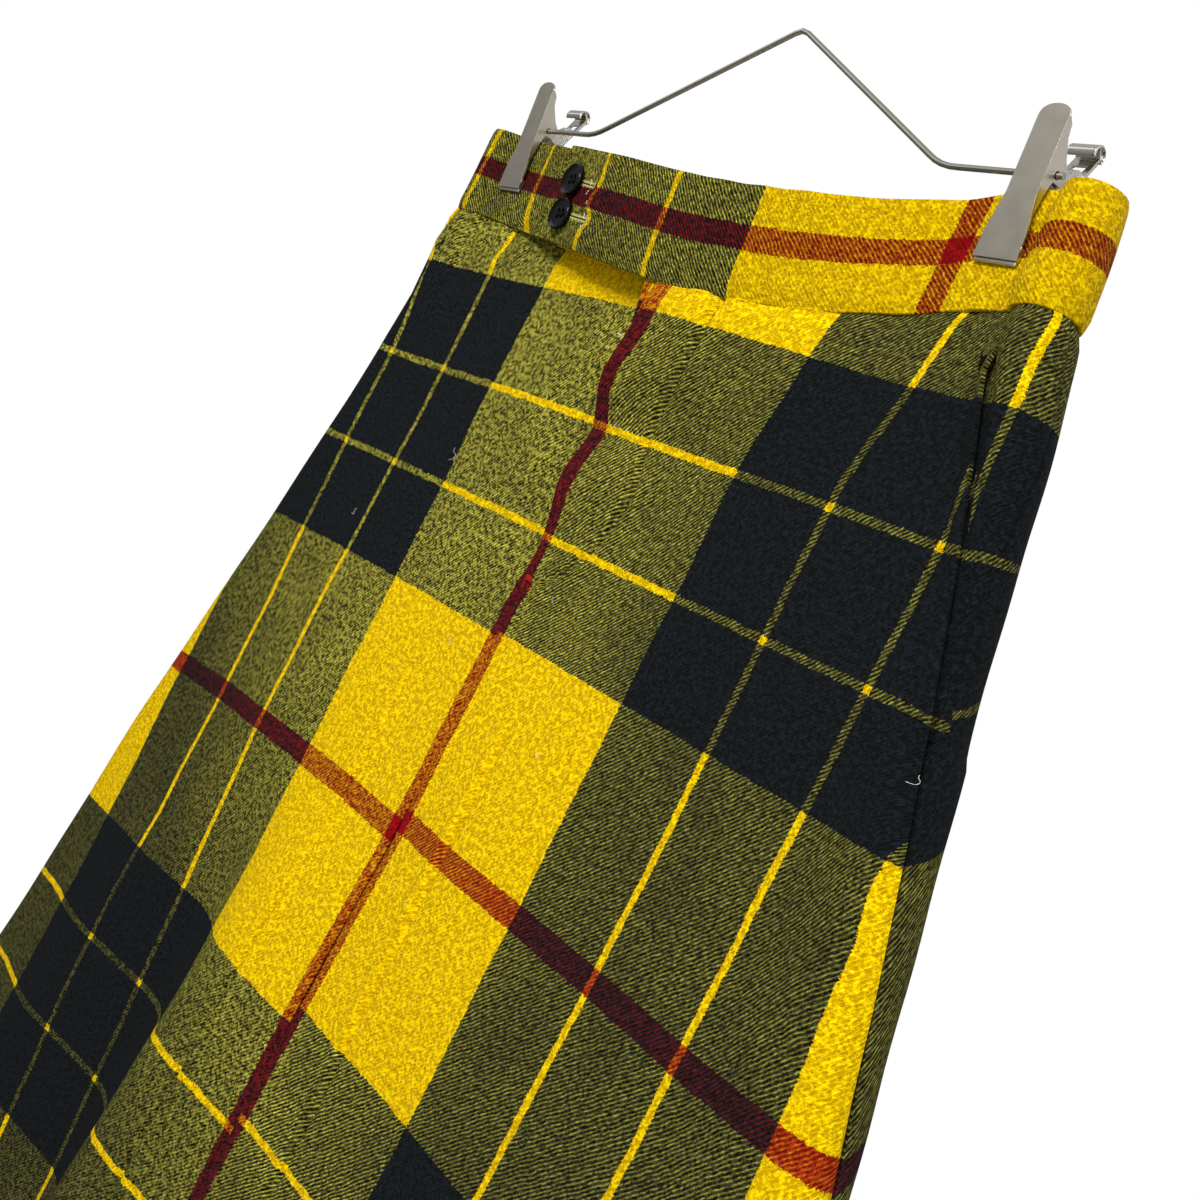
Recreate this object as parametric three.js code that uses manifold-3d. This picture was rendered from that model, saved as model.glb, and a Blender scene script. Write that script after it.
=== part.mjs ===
import * as THREE from 'three'
import { mergeVertices } from 'three/addons/utils/BufferGeometryUtils.js'
import Module from 'manifold-3d'

// A maxi skirt of checked brushed wool twill, hanging from a bent wire hanger by two sprung clips.
// Millimetres. The origin is the top bend of the wire. +X is to the right of someone who looks at
// the front of the skirt, +Y goes from its front to its back, +Z is up.

const wasm = await Module()
wasm.setup()

// Driving dimensions of the garment
const SKIRT_LENGTH = 960
const BAND_HEIGHT = 46
const BAND_WALL = 2.4
const CLOTH_WALL = 1.6
const SEAM_GAP = 0.5
const WAIST_GAP = 0.8
const BAND_TOP = -60.5
// How far the front stands forward: at the top edge, at the waist seam, just under it, and lower down.
const BOW = { centre: -20, toLeft: 122, toRight: 150, top: 24, seam: 18, seamFade: 12, body: 5, bodyFade: 90 }
const BACK_BOW = 7
const CLIP_FLAT = 14.5

// How far the top edge falls below the straight line between its ends, at places across it.
const SAG = [
  { x: -205, fall: -1.2 }, { x: -165, fall: 0.8 }, { x: -130, fall: 5 }, { x: -95, fall: 10.2 },
  { x: -50, fall: 16 }, { x: 0, fall: 21 }, { x: 25, fall: 22 }, { x: 60, fall: 20.6 },
  { x: 95, fall: 16.4 }, { x: 128, fall: 9 }, { x: 160, fall: 2 }, { x: 205, fall: -1.2 },
]
const SAG_FADE = 130

// The outline of the hanging skirt, one row for each drop below the top edge of the waistband:
// how far it reaches right and left, the radius that its ends turn on, how far the right end
// stands ahead of the flat front, and the depth from front to back between the ends.
const OUTLINE = [
  { drop: 0, right: 192, left: -201, round: 12, ahead: 9, depth: 6.2 },
  { drop: 46, right: 198, left: -205, round: 14.5, ahead: 9, depth: 6.6 },
  { drop: 110, right: 209, left: -211, round: 15.5, ahead: 3, depth: 24 },
  { drop: 180, right: 223, left: -226, round: 16, ahead: 0, depth: 32 },
  { drop: 270, right: 243, left: -250, round: 16.5, ahead: 0, depth: 33 },
  { drop: 365, right: 263, left: -274, round: 19, ahead: 0, depth: 38 },
  { drop: 520, right: 293, left: -312, round: 26, ahead: 0, depth: 52 },
  { drop: 960, right: 385, left: -415, round: 44, ahead: 0, depth: 88 },
]

// Half widths of the front, measured on the cloth from centre front to each side seam.
const SEAM_START = 63
const FRONT_RIGHT_WIDTH = 179
const FRONT_LEFT_WIDTH = 200
const SIDE_FLARE = 0.32

// Hanging folds: where the crest runs, where it starts, how deep it is at the hem, and how wide it
// is on each side of the crest. A negative depth is a valley.
const FRONT_FOLDS = [
  { crest: -66, drift: -30, start: 330, depth: 27, toLeft: 20, toRight: 74 },
  { crest: -114, drift: -44, start: 330, depth: -8, toLeft: 24, toRight: 20 },
  { crest: 118, drift: 66, start: 420, depth: 17, toLeft: 52, toRight: 46 },
  { crest: -196, drift: -96, start: 400, depth: 15, toLeft: 44, toRight: 42 },
  { crest: 210, drift: 92, start: 520, depth: 12, toLeft: 40, toRight: 36 },
]
const BACK_FOLDS = [
  { crest: -206, drift: -84, start: 330, depth: 15, toLeft: 46, toRight: 52 },
  { crest: -70, drift: -26, start: 300, depth: 19, toLeft: 56, toRight: 50 },
  { crest: 78, drift: 30, start: 340, depth: 17, toLeft: 52, toRight: 54 },
  { crest: 196, drift: 84, start: 380, depth: 14, toLeft: 46, toRight: 42 },
]
const FOLD_REACH = 190
const FOLD_MARGIN = 34

// The waistband laps over itself at the front left, and the right front laps over the left at the fly.
const TAB_END = -104
const UNDERLAP_END = -34
const LAP = 3.1
const LAP_STEP = { from: -146, to: -112 }
const FLY = { lap: 5, width: 32, lapEnds: [140, 182], stepEnds: [186, 216], underlapEnd: 184 }
const POCKET = { top: 66, bottom: 188, reach: 10, wall: 1.2, clearance: 1.3 }

const BUTTON = { radius: 8, thickness: 3, rim: 1.4, dish: 1.2, holeRadius: 0.9, holeOffset: 1.7, stand: 1.1 }
const BUTTON_TURN = THREE.MathUtils.degToRad(6)
const BUTTON_PLACES = [
  { name: 'button_upper', along: -79, drop: 16.8 },
  { name: 'button_lower', along: -77.5, drop: 33 },
]

// Driving dimensions of the hanger
const WIRE_RADIUS = 1.2
const WIRE_BEND = { x: 111, radius: 7 }
const WIRE_PEAK_RADIUS = 4
const CLIP_LINE = -57
const CLIP_X = 157
const WIRE_END = CLIP_X + 9.4
const CLIP = {
  plate: 1, handleTop: 22.5, lip: -33.5, topWidth: 13, waistWidth: 13, lipWidth: 19, lipReturn: 5,
  tilt: THREE.MathUtils.degToRad(6.4), lipFace: -0.5, axleHole: 1.55,
}
const REAR = { width: 10.4, plate: 0.9, padFace: 7.1, padWidth: 19, padThickness: 1.8, padTop: -4 }

const twill = { color: 0x8a8214, roughness: 0.95, metalness: 0 }
const steel = { color: 0x9b968a, roughness: 0.42, metalness: 0.85 }
const plastic = { color: 0xc9cac4, roughness: 0.3, metalness: 0 }
const blackPlastic = { color: 0x08080a, roughness: 0.12, metalness: 0 }

const group = new THREE.Group()

function addMesh(name, geometry, finish) {
  const mesh = new THREE.Mesh(geometry, new THREE.MeshStandardMaterial(finish))
  mesh.name = name
  group.add(mesh)
  return mesh
}

const clamp01 = (value) => Math.min(1, Math.max(0, value))
const mix = (a, b, t) => a + (b - a) * t

function ease(from, to, value) {
  const t = clamp01((value - from) / (to - from))
  return t * t * (3 - 2 * t)
}

const bell = (value, width) => Math.exp(-((value / width) ** 2))

// One column of a table at a place between its rows, on a curve that keeps the slope at each row.
function curveAt(table, key, column, place) {
  const last = table.length - 1
  const at = Math.min(table[last][key], Math.max(table[0][key], place))
  let i = 0
  while (i < last - 1 && at > table[i + 1][key]) i += 1
  const slope = (k) => {
    const low = table[Math.max(0, k - 1)]
    const high = table[Math.min(last, k + 1)]
    return (high[column] - low[column]) / (high[key] - low[key])
  }
  const span = table[i + 1][key] - table[i][key]
  const t = (at - table[i][key]) / span
  const t2 = t * t
  const t3 = t2 * t
  return (
    (2 * t3 - 3 * t2 + 1) * table[i][column] +
    (t3 - 2 * t2 + t) * span * slope(i) +
    (3 * t2 - 2 * t3) * table[i + 1][column] +
    (t3 - t2) * span * slope(i + 1)
  )
}
const outlineAt = (column, drop) => curveAt(OUTLINE, 'drop', column, drop)

// Height of the cloth at x, at a drop below the top edge: the top edge sags between the clips, and
// the sag dies out below the waistband.
function heightAt(x, drop) {
  const sag = curveAt(SAG, 'x', 'fall', x)
  return BAND_TOP - drop - sag * (1 - ease(BAND_HEIGHT, BAND_HEIGHT + SAG_FADE, drop))
}

// The front stands forward between the clips, most of all at the top edge. Under the waist seam the
// cloth turns back, so the waistband overhangs it.
function frontBow(x, drop) {
  const half = x < BOW.centre ? BOW.toLeft : BOW.toRight
  const share = Math.max(0, 1 - ((x - BOW.centre) / half) ** 2)
  if (drop <= BAND_HEIGHT) return share * mix(BOW.top, BOW.seam, drop / BAND_HEIGHT)
  const below = drop - BAND_HEIGHT
  return share * (BOW.body * bell(below, BOW.bodyFade) + (BOW.seam - BOW.body) * bell(below, BOW.seamFade))
}

function foldsAt(folds, x, drop) {
  let sum = 0
  for (const fold of folds) {
    if (drop > fold.start) {
      const grown = 1 - Math.exp(-(drop - fold.start) / FOLD_REACH)
      const crest = fold.crest + (fold.drift * (drop - fold.start)) / (SKIRT_LENGTH - fold.start)
      const width = x < crest ? fold.toLeft : fold.toRight
      sum += fold.depth * grown * Math.exp(-(((x - crest) / width) ** 2))
    }
  }
  return sum
}

// The closed outline of the cloth at one drop, as points from centre front round to the right,
// the back, the left and centre front again, with the length along it.
function loopAt(drop) {
  const round = outlineAt('round', drop)
  const depth = outlineAt('depth', drop)
  const right = outlineAt('right', drop)
  const left = outlineAt('left', drop)
  const ahead = outlineAt('ahead', drop)
  const freed = ease(60, 180, drop)
  const flatRight = mix(CLIP_X + CLIP_FLAT, right - round - 1, freed)
  const flatLeft = mix(-CLIP_X - CLIP_FLAT, left + round + 1, freed)
  const points = []
  const inside = (x) => ease(flatRight, flatRight - FOLD_MARGIN, x) * ease(flatLeft, flatLeft + FOLD_MARGIN, x)
  const front = (x) => -frontBow(x, drop) - foldsAt(FRONT_FOLDS, x, drop) * inside(x)
  const backBow = BACK_BOW * (1 - ease(60, 200, drop))
  const back = (x) =>
    depth + backBow * Math.max(0, 1 - (x / (CLIP_X - 24)) ** 2) + foldsAt(BACK_FOLDS, x, drop) * inside(x)
  const endArc = (edge, centreX, centreY, pinchX, side) => {
    const run = Math.abs(centreX - pinchX)
    const frontAngle =
      Math.atan2(centreY, run) - Math.asin(Math.min(1, round / Math.hypot(run, centreY)))
    const backAngle =
      Math.atan2(centreY - depth, run) + Math.asin(Math.min(1, round / Math.hypot(run, centreY - depth)))
    const arc = []
    const steps = 16
    for (let i = 0; i <= steps; i += 1) {
      const turn = mix(frontAngle, Math.PI + backAngle, i / steps)
      arc.push([centreX + side * round * Math.sin(turn), centreY - round * Math.cos(turn)])
    }
    return arc
  }
  const steps = 70
  for (let i = 0; i <= steps; i += 1) {
    const x = (flatRight * i) / steps
    points.push([x, front(x)])
  }
  points.push(...endArc(right, right - round, round - ahead, flatRight, 1))
  for (let i = 0; i <= 2 * steps; i += 1) {
    const x = mix(flatRight, flatLeft, i / (2 * steps))
    points.push([x, back(x)])
  }
  points.push(...endArc(left, left + round, round - ahead / 2, flatLeft, -1).reverse())
  for (let i = 0; i <= steps; i += 1) {
    const x = mix(flatLeft, 0, i / steps)
    points.push([x, front(x)])
  }
  const lengths = [0]
  for (let i = 1; i < points.length; i += 1) {
    const step = Math.hypot(points[i][0] - points[i - 1][0], points[i][1] - points[i - 1][1])
    lengths.push(lengths[i - 1] + step)
  }
  return { points, lengths, total: lengths[lengths.length - 1] }
}

const loops = new Map()
function loopFor(drop) {
  if (!loops.has(drop)) loops.set(drop, loopAt(drop))
  return loops.get(drop)
}

function pointOn(loop, along) {
  const s = ((along % loop.total) + loop.total) % loop.total
  let low = 0
  let high = loop.lengths.length - 1
  while (high - low > 1) {
    const middle = (low + high) >> 1
    if (loop.lengths[middle] <= s) low = middle
    else high = middle
  }
  const t = (s - loop.lengths[low]) / Math.max(1e-6, loop.lengths[high] - loop.lengths[low])
  return [mix(loop.points[low][0], loop.points[high][0], t), mix(loop.points[low][1], loop.points[high][1], t)]
}

// A point of the cloth's outer face, moved inward by a depth square to the outline.
function clothPoint(along, drop, inward) {
  const loop = loopFor(drop)
  const [x, y] = pointOn(loop, along)
  const before = pointOn(loop, along - 2)
  const after = pointOn(loop, along + 2)
  const dx = after[0] - before[0]
  const dy = after[1] - before[1]
  const size = Math.hypot(dx, dy)
  return new THREE.Vector3(x - (dy / size) * inward, y + (dx / size) * inward, heightAt(x, drop))
}

// A closed wall between two grids of points, outer and inner, with strips round its four edges.
function wallGeometry(outer, inner) {
  const rows = outer.length
  const columns = outer[0].length
  const positions = []
  const faces = []
  for (const grid of [outer, inner]) {
    for (const row of grid) for (const p of row) positions.push(p.x, p.y, p.z)
  }
  const out = (r, c) => r * columns + c
  const inn = (r, c) => rows * columns + r * columns + c
  const quad = (a, b, c, d) => faces.push(a, b, c, a, c, d)
  for (let r = 0; r < rows - 1; r += 1) {
    for (let c = 0; c < columns - 1; c += 1) {
      quad(out(r, c), out(r + 1, c), out(r + 1, c + 1), out(r, c + 1))
      quad(inn(r, c), inn(r, c + 1), inn(r + 1, c + 1), inn(r + 1, c))
    }
  }
  for (let c = 0; c < columns - 1; c += 1) {
    quad(out(0, c), out(0, c + 1), inn(0, c + 1), inn(0, c))
    quad(out(rows - 1, c + 1), out(rows - 1, c), inn(rows - 1, c), inn(rows - 1, c + 1))
  }
  for (let r = 0; r < rows - 1; r += 1) {
    quad(out(r + 1, 0), out(r, 0), inn(r, 0), inn(r + 1, 0))
    quad(out(r, columns - 1), out(r + 1, columns - 1), inn(r + 1, columns - 1), inn(r, columns - 1))
  }
  const geometry = new THREE.BufferGeometry()
  geometry.setAttribute('position', new THREE.Float32BufferAttribute(positions, 3))
  geometry.setIndex(faces)
  geometry.computeVertexNormals()
  return geometry
}

// Places along the outline from one line to another: evenly spread, with closer ones in a stretch
// at the start and at the end where the cloth turns round the sides.
function columnPlaces(from, to, columns, closeStart, closeEnd) {
  const places = [from]
  const add = (a, b, count) => {
    for (let i = 1; i <= count; i += 1) places.push(mix(a, b, i / count))
  }
  const startEnd = from + (closeStart ? CLOSE_SPAN : 0)
  const endStart = to - (closeEnd ? CLOSE_SPAN : 0)
  if (closeStart) add(from, startEnd, CLOSE_COLUMNS)
  add(startEnd, endStart, columns)
  if (closeEnd) add(endStart, to, CLOSE_COLUMNS)
  return places
}

// A piece of cloth on the outline, between two lines along it, set inward by a depth of its own.
function clothPiece({ drops, from, to, columns, closeStart, closeEnd, inward = () => 0, wall }) {
  const outer = []
  const inner = []
  for (const drop of drops) {
    const outerRow = []
    const innerRow = []
    for (const along of columnPlaces(from(drop), to(drop), columns, closeStart, closeEnd)) {
      const depth = inward(along, drop)
      outerRow.push(clothPoint(along, drop, depth))
      innerRow.push(clothPoint(along, drop, depth + wall))
    }
    outer.push(outerRow)
    inner.push(innerRow)
  }
  return wallGeometry(outer, inner)
}

const CLOSE_SPAN = 54
const CLOSE_COLUMNS = 9
const evenDrops = (from, to, count) => Array.from({ length: count + 1 }, (_, i) => mix(from, to, i / count))
const seamRight = (drop) => FRONT_RIGHT_WIDTH + SIDE_FLARE * (drop - SEAM_START)
const seamLeft = (drop) => FRONT_LEFT_WIDTH + SIDE_FLARE * (drop - SEAM_START)

function makeWaistband() {
  const inward = (along, drop) => {
    const fromFront = along - loopFor(drop).total
    return fromFront > LAP_STEP.from ? LAP * ease(LAP_STEP.from, LAP_STEP.to, fromFront) : 0
  }
  const geometry = clothPiece({
    drops: [0, 14, 30, BAND_HEIGHT],
    from: () => TAB_END,
    to: (drop) => loopFor(drop).total + UNDERLAP_END,
    columns: 78,
    inward,
    wall: BAND_WALL,
  })
  addMesh('waistband', geometry, twill)
}

const bodyTop = BAND_HEIGHT + WAIST_GAP
const bodyDrops = [
  bodyTop, 51, 56, 62, 70, 84, ...evenDrops(104, 216, 4),
  270, 330, 380, 430, 490, ...evenDrops(560, SKIRT_LENGTH, 5),
]
const lapAt = (drop) => FLY.lap * (1 - ease(FLY.lapEnds[0], FLY.lapEnds[1], drop))

// The left front lies behind the lap of the waistband at its top, and behind the fly at its edge.
function leftRecess(along, drop) {
  const underBand = (1 - ease(BAND_HEIGHT + 20, 150, drop)) * ease(LAP_STEP.from, LAP_STEP.to, along)
  const underFly = (1 - ease(FLY.stepEnds[0], FLY.stepEnds[1], drop)) * ease(-34, -12, along)
  return LAP * Math.max(underBand, underFly)
}

function makeFronts() {
  const half = SEAM_GAP / 2
  const right = clothPiece({
    drops: bodyDrops,
    from: (drop) => half - lapAt(drop),
    to: (drop) => seamRight(drop) - half,
    columns: 13,
    closeEnd: true,
    wall: CLOTH_WALL,
  })
  addMesh('front_right_panel', right, twill)
  const left = clothPiece({
    drops: bodyDrops,
    from: (drop) => -seamLeft(drop) + half,
    to: () => -half,
    columns: 15,
    closeStart: true,
    inward: leftRecess,
    wall: CLOTH_WALL,
  })
  addMesh('front_left_panel', left, twill)
  const underlap = clothPiece({
    drops: [...bodyDrops.filter((drop) => drop < FLY.underlapEnd), FLY.underlapEnd],
    from: () => half,
    to: () => FLY.width,
    columns: 3,
    inward: () => LAP,
    wall: CLOTH_WALL,
  })
  addMesh('fly_underlap', underlap, twill)
}

function makeBack() {
  const half = SEAM_GAP / 2
  const back = clothPiece({
    drops: bodyDrops,
    from: (drop) => seamRight(drop) + half,
    to: (drop) => loopFor(drop).total - seamLeft(drop) - half,
    columns: 17,
    closeStart: true,
    closeEnd: true,
    wall: CLOTH_WALL,
  })
  addMesh('back_panel', back, twill)
}

function makePocketFacing(name, seam) {
  const depth = CLOTH_WALL + POCKET.clearance
  const facing = clothPiece({
    drops: evenDrops(POCKET.top, POCKET.bottom, 7),
    from: (drop) => seam(drop) - POCKET.reach,
    to: (drop) => seam(drop) + POCKET.reach,
    columns: 4,
    inward: () => depth,
    wall: POCKET.wall,
  })
  addMesh(name, facing, twill)
}

function toSolid(geometry, placement) {
  const bare = geometry.index ? geometry.clone() : mergeVertices(geometry.clone().deleteAttribute('normal'))
  bare.deleteAttribute('normal')
  bare.deleteAttribute('uv')
  const merged = mergeVertices(bare, 1e-4)
  if (placement) merged.applyMatrix4(placement)
  const mesh = new wasm.Mesh({
    numProp: 3,
    vertProperties: new Float32Array(merged.attributes.position.array),
    triVerts: new Uint32Array(merged.index.array),
  })
  return new wasm.Manifold(mesh)
}

function fromSolid(solid) {
  const mesh = solid.getMesh()
  const geometry = new THREE.BufferGeometry()
  geometry.setAttribute('position', new THREE.Float32BufferAttribute(mesh.vertProperties, 3))
  geometry.setIndex(new THREE.Uint32BufferAttribute(mesh.triVerts, 1))
  geometry.computeVertexNormals()
  return geometry
}

const placed = (x, y, z, angleX = 0, angleY = 0, angleZ = 0) =>
  new THREE.Matrix4().compose(
    new THREE.Vector3(x, y, z),
    new THREE.Quaternion().setFromEuler(new THREE.Euler(angleX, angleY, angleZ)),
    new THREE.Vector3(1, 1, 1),
  )

// Four-hole shirt-type button with a raised rim and a dished middle; its axis is +Z.
function buttonGeometry() {
  const { radius, thickness, rim, dish, holeRadius, holeOffset } = BUTTON
  const well = thickness - dish
  const profile = [
    [0, 0], [radius - 1.6, 0], [radius - 0.5, 0.4], [radius, 1.3], [radius - 0.2, thickness - 0.4],
    [radius - 0.8, thickness], [radius - rim, thickness - 0.3], [radius - rim - 1, well], [0, well],
  ].map(([r, z]) => new THREE.Vector2(r, z))
  let solid = toSolid(new THREE.LatheGeometry(profile, 28), placed(0, 0, 0, Math.PI / 2))
  for (const [sideX, sideY] of [[1, 1], [1, -1], [-1, 1], [-1, -1]]) {
    const hole = new THREE.CylinderGeometry(holeRadius, holeRadius, 3 * thickness, 10)
    const place = placed(sideX * holeOffset, sideY * holeOffset, thickness / 2, Math.PI / 2)
    solid = solid.subtract(toSolid(hole, place))
  }
  return fromSolid(solid)
}

function makeButtons() {
  for (const { name, along, drop } of BUTTON_PLACES) {
    const centre = clothPoint(along, drop, 0)
    const reach = BUTTON.radius
    const across = clothPoint(along + reach, drop, 0).sub(clothPoint(along - reach, drop, 0))
    const up = clothPoint(along, drop - reach, 0).sub(clothPoint(along, drop + reach, 0))
    const normal = new THREE.Vector3().crossVectors(across, up).normalize()
    normal.applyAxisAngle(new THREE.Vector3(0, 0, 1), BUTTON_TURN)
    const button = addMesh(name, buttonGeometry(), blackPlastic)
    button.quaternion.setFromUnitVectors(new THREE.Vector3(0, 0, 1), normal)
    button.position.copy(centre.addScaledVector(normal, BUTTON.stand))
  }
}

// Round wire: level ends through the clips, two bends, and two straight slopes up to the peak.
function makeWire() {
  const path = new THREE.CurvePath()
  const corners = [
    { at: new THREE.Vector3(-WIRE_BEND.x, 0, CLIP_LINE), radius: WIRE_BEND.radius },
    { at: new THREE.Vector3(0, 0, 0), radius: WIRE_PEAK_RADIUS },
    { at: new THREE.Vector3(WIRE_BEND.x, 0, CLIP_LINE), radius: WIRE_BEND.radius },
  ]
  const end = new THREE.Vector3(WIRE_END, 0, CLIP_LINE)
  let cursor = new THREE.Vector3(-WIRE_END, 0, CLIP_LINE)
  corners.forEach(({ at, radius }, i) => {
    const next = i < corners.length - 1 ? corners[i + 1].at : end
    const before = at.clone().add(cursor.clone().sub(at).setLength(radius))
    const after = at.clone().add(next.clone().sub(at).setLength(radius))
    path.add(new THREE.LineCurve3(cursor, before))
    path.add(new THREE.QuadraticBezierCurve3(before, at, after))
    cursor = after
  })
  path.add(new THREE.LineCurve3(cursor, end))
  const section = new THREE.Shape().absarc(0, 0, WIRE_RADIUS, 0, 2 * Math.PI)
  const options = { steps: 84, curveSegments: 5, bevelEnabled: false, extrudePath: path }
  addMesh('hanger_wire', new THREE.ExtrudeGeometry(section, options), steel)
}

// A flat blank cut in the YZ plane and as thick as a plate, standing at x.
function sideBlank(outline, x, thickness) {
  const shape = new THREE.Shape(outline.map(([y, z]) => new THREE.Vector2(y, z)))
  const blank = new THREE.ExtrudeGeometry(shape, { depth: thickness, bevelEnabled: false, curveSegments: 6 })
  const turn = new THREE.Matrix4().makeBasis(
    new THREE.Vector3(0, 1, 0), new THREE.Vector3(0, 0, 1), new THREE.Vector3(1, 0, 0),
  )
  turn.setPosition(x - thickness / 2, 0, 0)
  return toSolid(blank, turn)
}

function axleHole(radius) {
  const bar = new THREE.CylinderGeometry(radius, radius, 40, 16)
  return toSolid(bar, placed(0, 0, 0, 0, 0, Math.PI / 2))
}

// Front jaw, in clip coordinates with the axle at the origin: a tapered plate that leans forward at
// its handle, a doubled lip, and a wide ear folded back on each side.
function frontJaw() {
  const { plate, handleTop, lip, topWidth, waistWidth, lipWidth, lipReturn, tilt, lipFace } = CLIP
  const outline = new THREE.Shape()
  outline.moveTo(-lipWidth / 2, lip)
  outline.lineTo(lipWidth / 2, lip)
  outline.lineTo(lipWidth / 2 - 0.4, lip + 9)
  outline.lineTo(waistWidth / 2, lip + 24)
  outline.lineTo(topWidth / 2, handleTop - 4.5)
  outline.bezierCurveTo(topWidth / 2, handleTop - 1, 3, handleTop, 0, handleTop)
  outline.bezierCurveTo(-3, handleTop, -topWidth / 2, handleTop - 1, -topWidth / 2, handleTop - 4.5)
  outline.lineTo(-waistWidth / 2, lip + 24)
  outline.lineTo(-lipWidth / 2 + 0.4, lip + 9)
  const sheet = new THREE.ExtrudeGeometry(outline, { depth: plate, bevelEnabled: false, curveSegments: 6 })
  const lipBack = lipFace - 2 * plate - 0.1
  const lean = placed(0, lipBack + plate, lip, tilt).multiply(placed(0, 0, -lip, Math.PI / 2))
  const leaning = (z) => lipBack - (z - lip) * Math.tan(tilt)
  let jaw = toSolid(sheet, lean)
  const lipEdge = [
    [leaning(lip) + 0.3, lip + 0.02], [lipFace, lip + 0.02], [lipFace, lip + lipReturn],
    [leaning(lip + lipReturn) + 0.4, lip + lipReturn],
  ]
  jaw = jaw.add(sideBlank(lipEdge, 0, lipWidth - 0.2))
  const ear = [
    [leaning(handleTop - 3.5) + 0.3, handleTop - 3.5], [leaning(-18) + 0.3, -18], [leaning(-18) + 2.2, -17],
    [-1.2, -5], [-0.4, -2.7], [4.4, -2.4], [5, 0], [4.2, 3.4], [1, 6], [leaning(12) + 4.2, 12],
    [leaning(handleTop - 6) + 3.2, handleTop - 6],
  ]
  for (const side of [-1, 1]) {
    jaw = jaw.add(sideBlank(ear, side * (waistWidth / 2 - plate / 2), plate))
  }
  return jaw.subtract(axleHole(CLIP.axleHole))
}

// Rear jaw: a bent strip behind the cloth with a hooked handle, a three-cornered window, and two
// ears between those of the front jaw.
function rearJaw() {
  const t = REAR.plate
  const foot = REAR.padFace + REAR.padThickness + 0.3
  const strip = [
    [foot, CLIP.lip], [foot, -6], [17.4, 17], [14.6, 20], [15.2, 20 + t], [18.4, 18 + t], [19, 17], [foot + t, -6.4],
    [foot + t, CLIP.lip],
  ]
  let jaw = sideBlank(strip, 0, REAR.width)
  const window = new THREE.Shape([new THREE.Vector2(-3.2, 13), new THREE.Vector2(3.2, 13), new THREE.Vector2(0, 1)])
  const cutter = new THREE.ExtrudeGeometry(window, { depth: 30, bevelEnabled: false })
  jaw = jaw.subtract(toSolid(cutter, placed(0, 30, 0, Math.PI / 2)))
  const ear = [
    [foot + 0.3, -8], [foot + 0.3, -2], [12, 7], [4, 3.6], [-1.6, 2.2], [-2.4, 0], [-1.4, -2.4],
    [6, -2.7], [foot, -3.3],
  ]
  for (const side of [-1, 1]) {
    jaw = jaw.add(sideBlank(ear, side * (REAR.width / 2 - t / 2), t))
  }
  return jaw.subtract(axleHole(CLIP.axleHole))
}

// Clear moulded pad on the foot of the rear jaw, with a rounded top edge.
function padGeometry() {
  const half = REAR.padWidth / 2
  const face = new THREE.Shape()
  face.moveTo(-half, CLIP.lip)
  face.lineTo(half, CLIP.lip)
  face.lineTo(half, REAR.padTop - 6)
  face.bezierCurveTo(half, REAR.padTop - 1, half - 4, REAR.padTop, 0, REAR.padTop)
  face.bezierCurveTo(4 - half, REAR.padTop, -half, REAR.padTop - 1, -half, REAR.padTop - 6)
  const sheet = new THREE.ExtrudeGeometry(face, { depth: REAR.padThickness, bevelEnabled: false, curveSegments: 5 })
  return fromSolid(toSolid(sheet, placed(0, REAR.padFace + REAR.padThickness, 0, Math.PI / 2)))
}

function makeClip(name, x) {
  const pieces = [
    [`${name}_front_jaw`, fromSolid(frontJaw()), steel],
    [`${name}_rear_jaw`, fromSolid(rearJaw()), steel],
    [`${name}_pad`, padGeometry(), plastic],
  ]
  for (const [meshName, geometry, finish] of pieces) {
    addMesh(meshName, geometry, finish).position.set(x, 0, CLIP_LINE)
  }
}

makeWaistband()
makeFronts()
makeBack()
makePocketFacing('pocket_facing_right', seamRight)
makePocketFacing('pocket_facing_left', (drop) => loopFor(drop).total - seamLeft(drop))
makeButtons()
makeWire()
makeClip('clip_left', -CLIP_X)
makeClip('clip_right', CLIP_X)

export default group
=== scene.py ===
import math

import bmesh
import bpy
import numpy as np
from mathutils import Matrix, Vector


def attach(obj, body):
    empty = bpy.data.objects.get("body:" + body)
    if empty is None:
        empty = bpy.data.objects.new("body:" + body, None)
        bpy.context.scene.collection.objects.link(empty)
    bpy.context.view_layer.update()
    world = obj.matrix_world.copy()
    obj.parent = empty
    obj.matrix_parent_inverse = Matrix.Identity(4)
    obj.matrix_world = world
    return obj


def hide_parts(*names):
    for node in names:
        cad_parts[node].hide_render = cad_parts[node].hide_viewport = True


# A maxi skirt of checked brushed wool twill on a wire hanger with two sprung clips.
# Lengths are worked out in millimetres, as in the part's source, and written in metres.
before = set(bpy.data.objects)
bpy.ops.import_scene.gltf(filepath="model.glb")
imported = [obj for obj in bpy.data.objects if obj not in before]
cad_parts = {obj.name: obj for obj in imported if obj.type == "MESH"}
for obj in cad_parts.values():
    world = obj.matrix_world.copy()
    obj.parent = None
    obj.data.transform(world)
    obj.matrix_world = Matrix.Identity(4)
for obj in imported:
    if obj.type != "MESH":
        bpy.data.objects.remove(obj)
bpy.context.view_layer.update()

MM = 0.001

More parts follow.
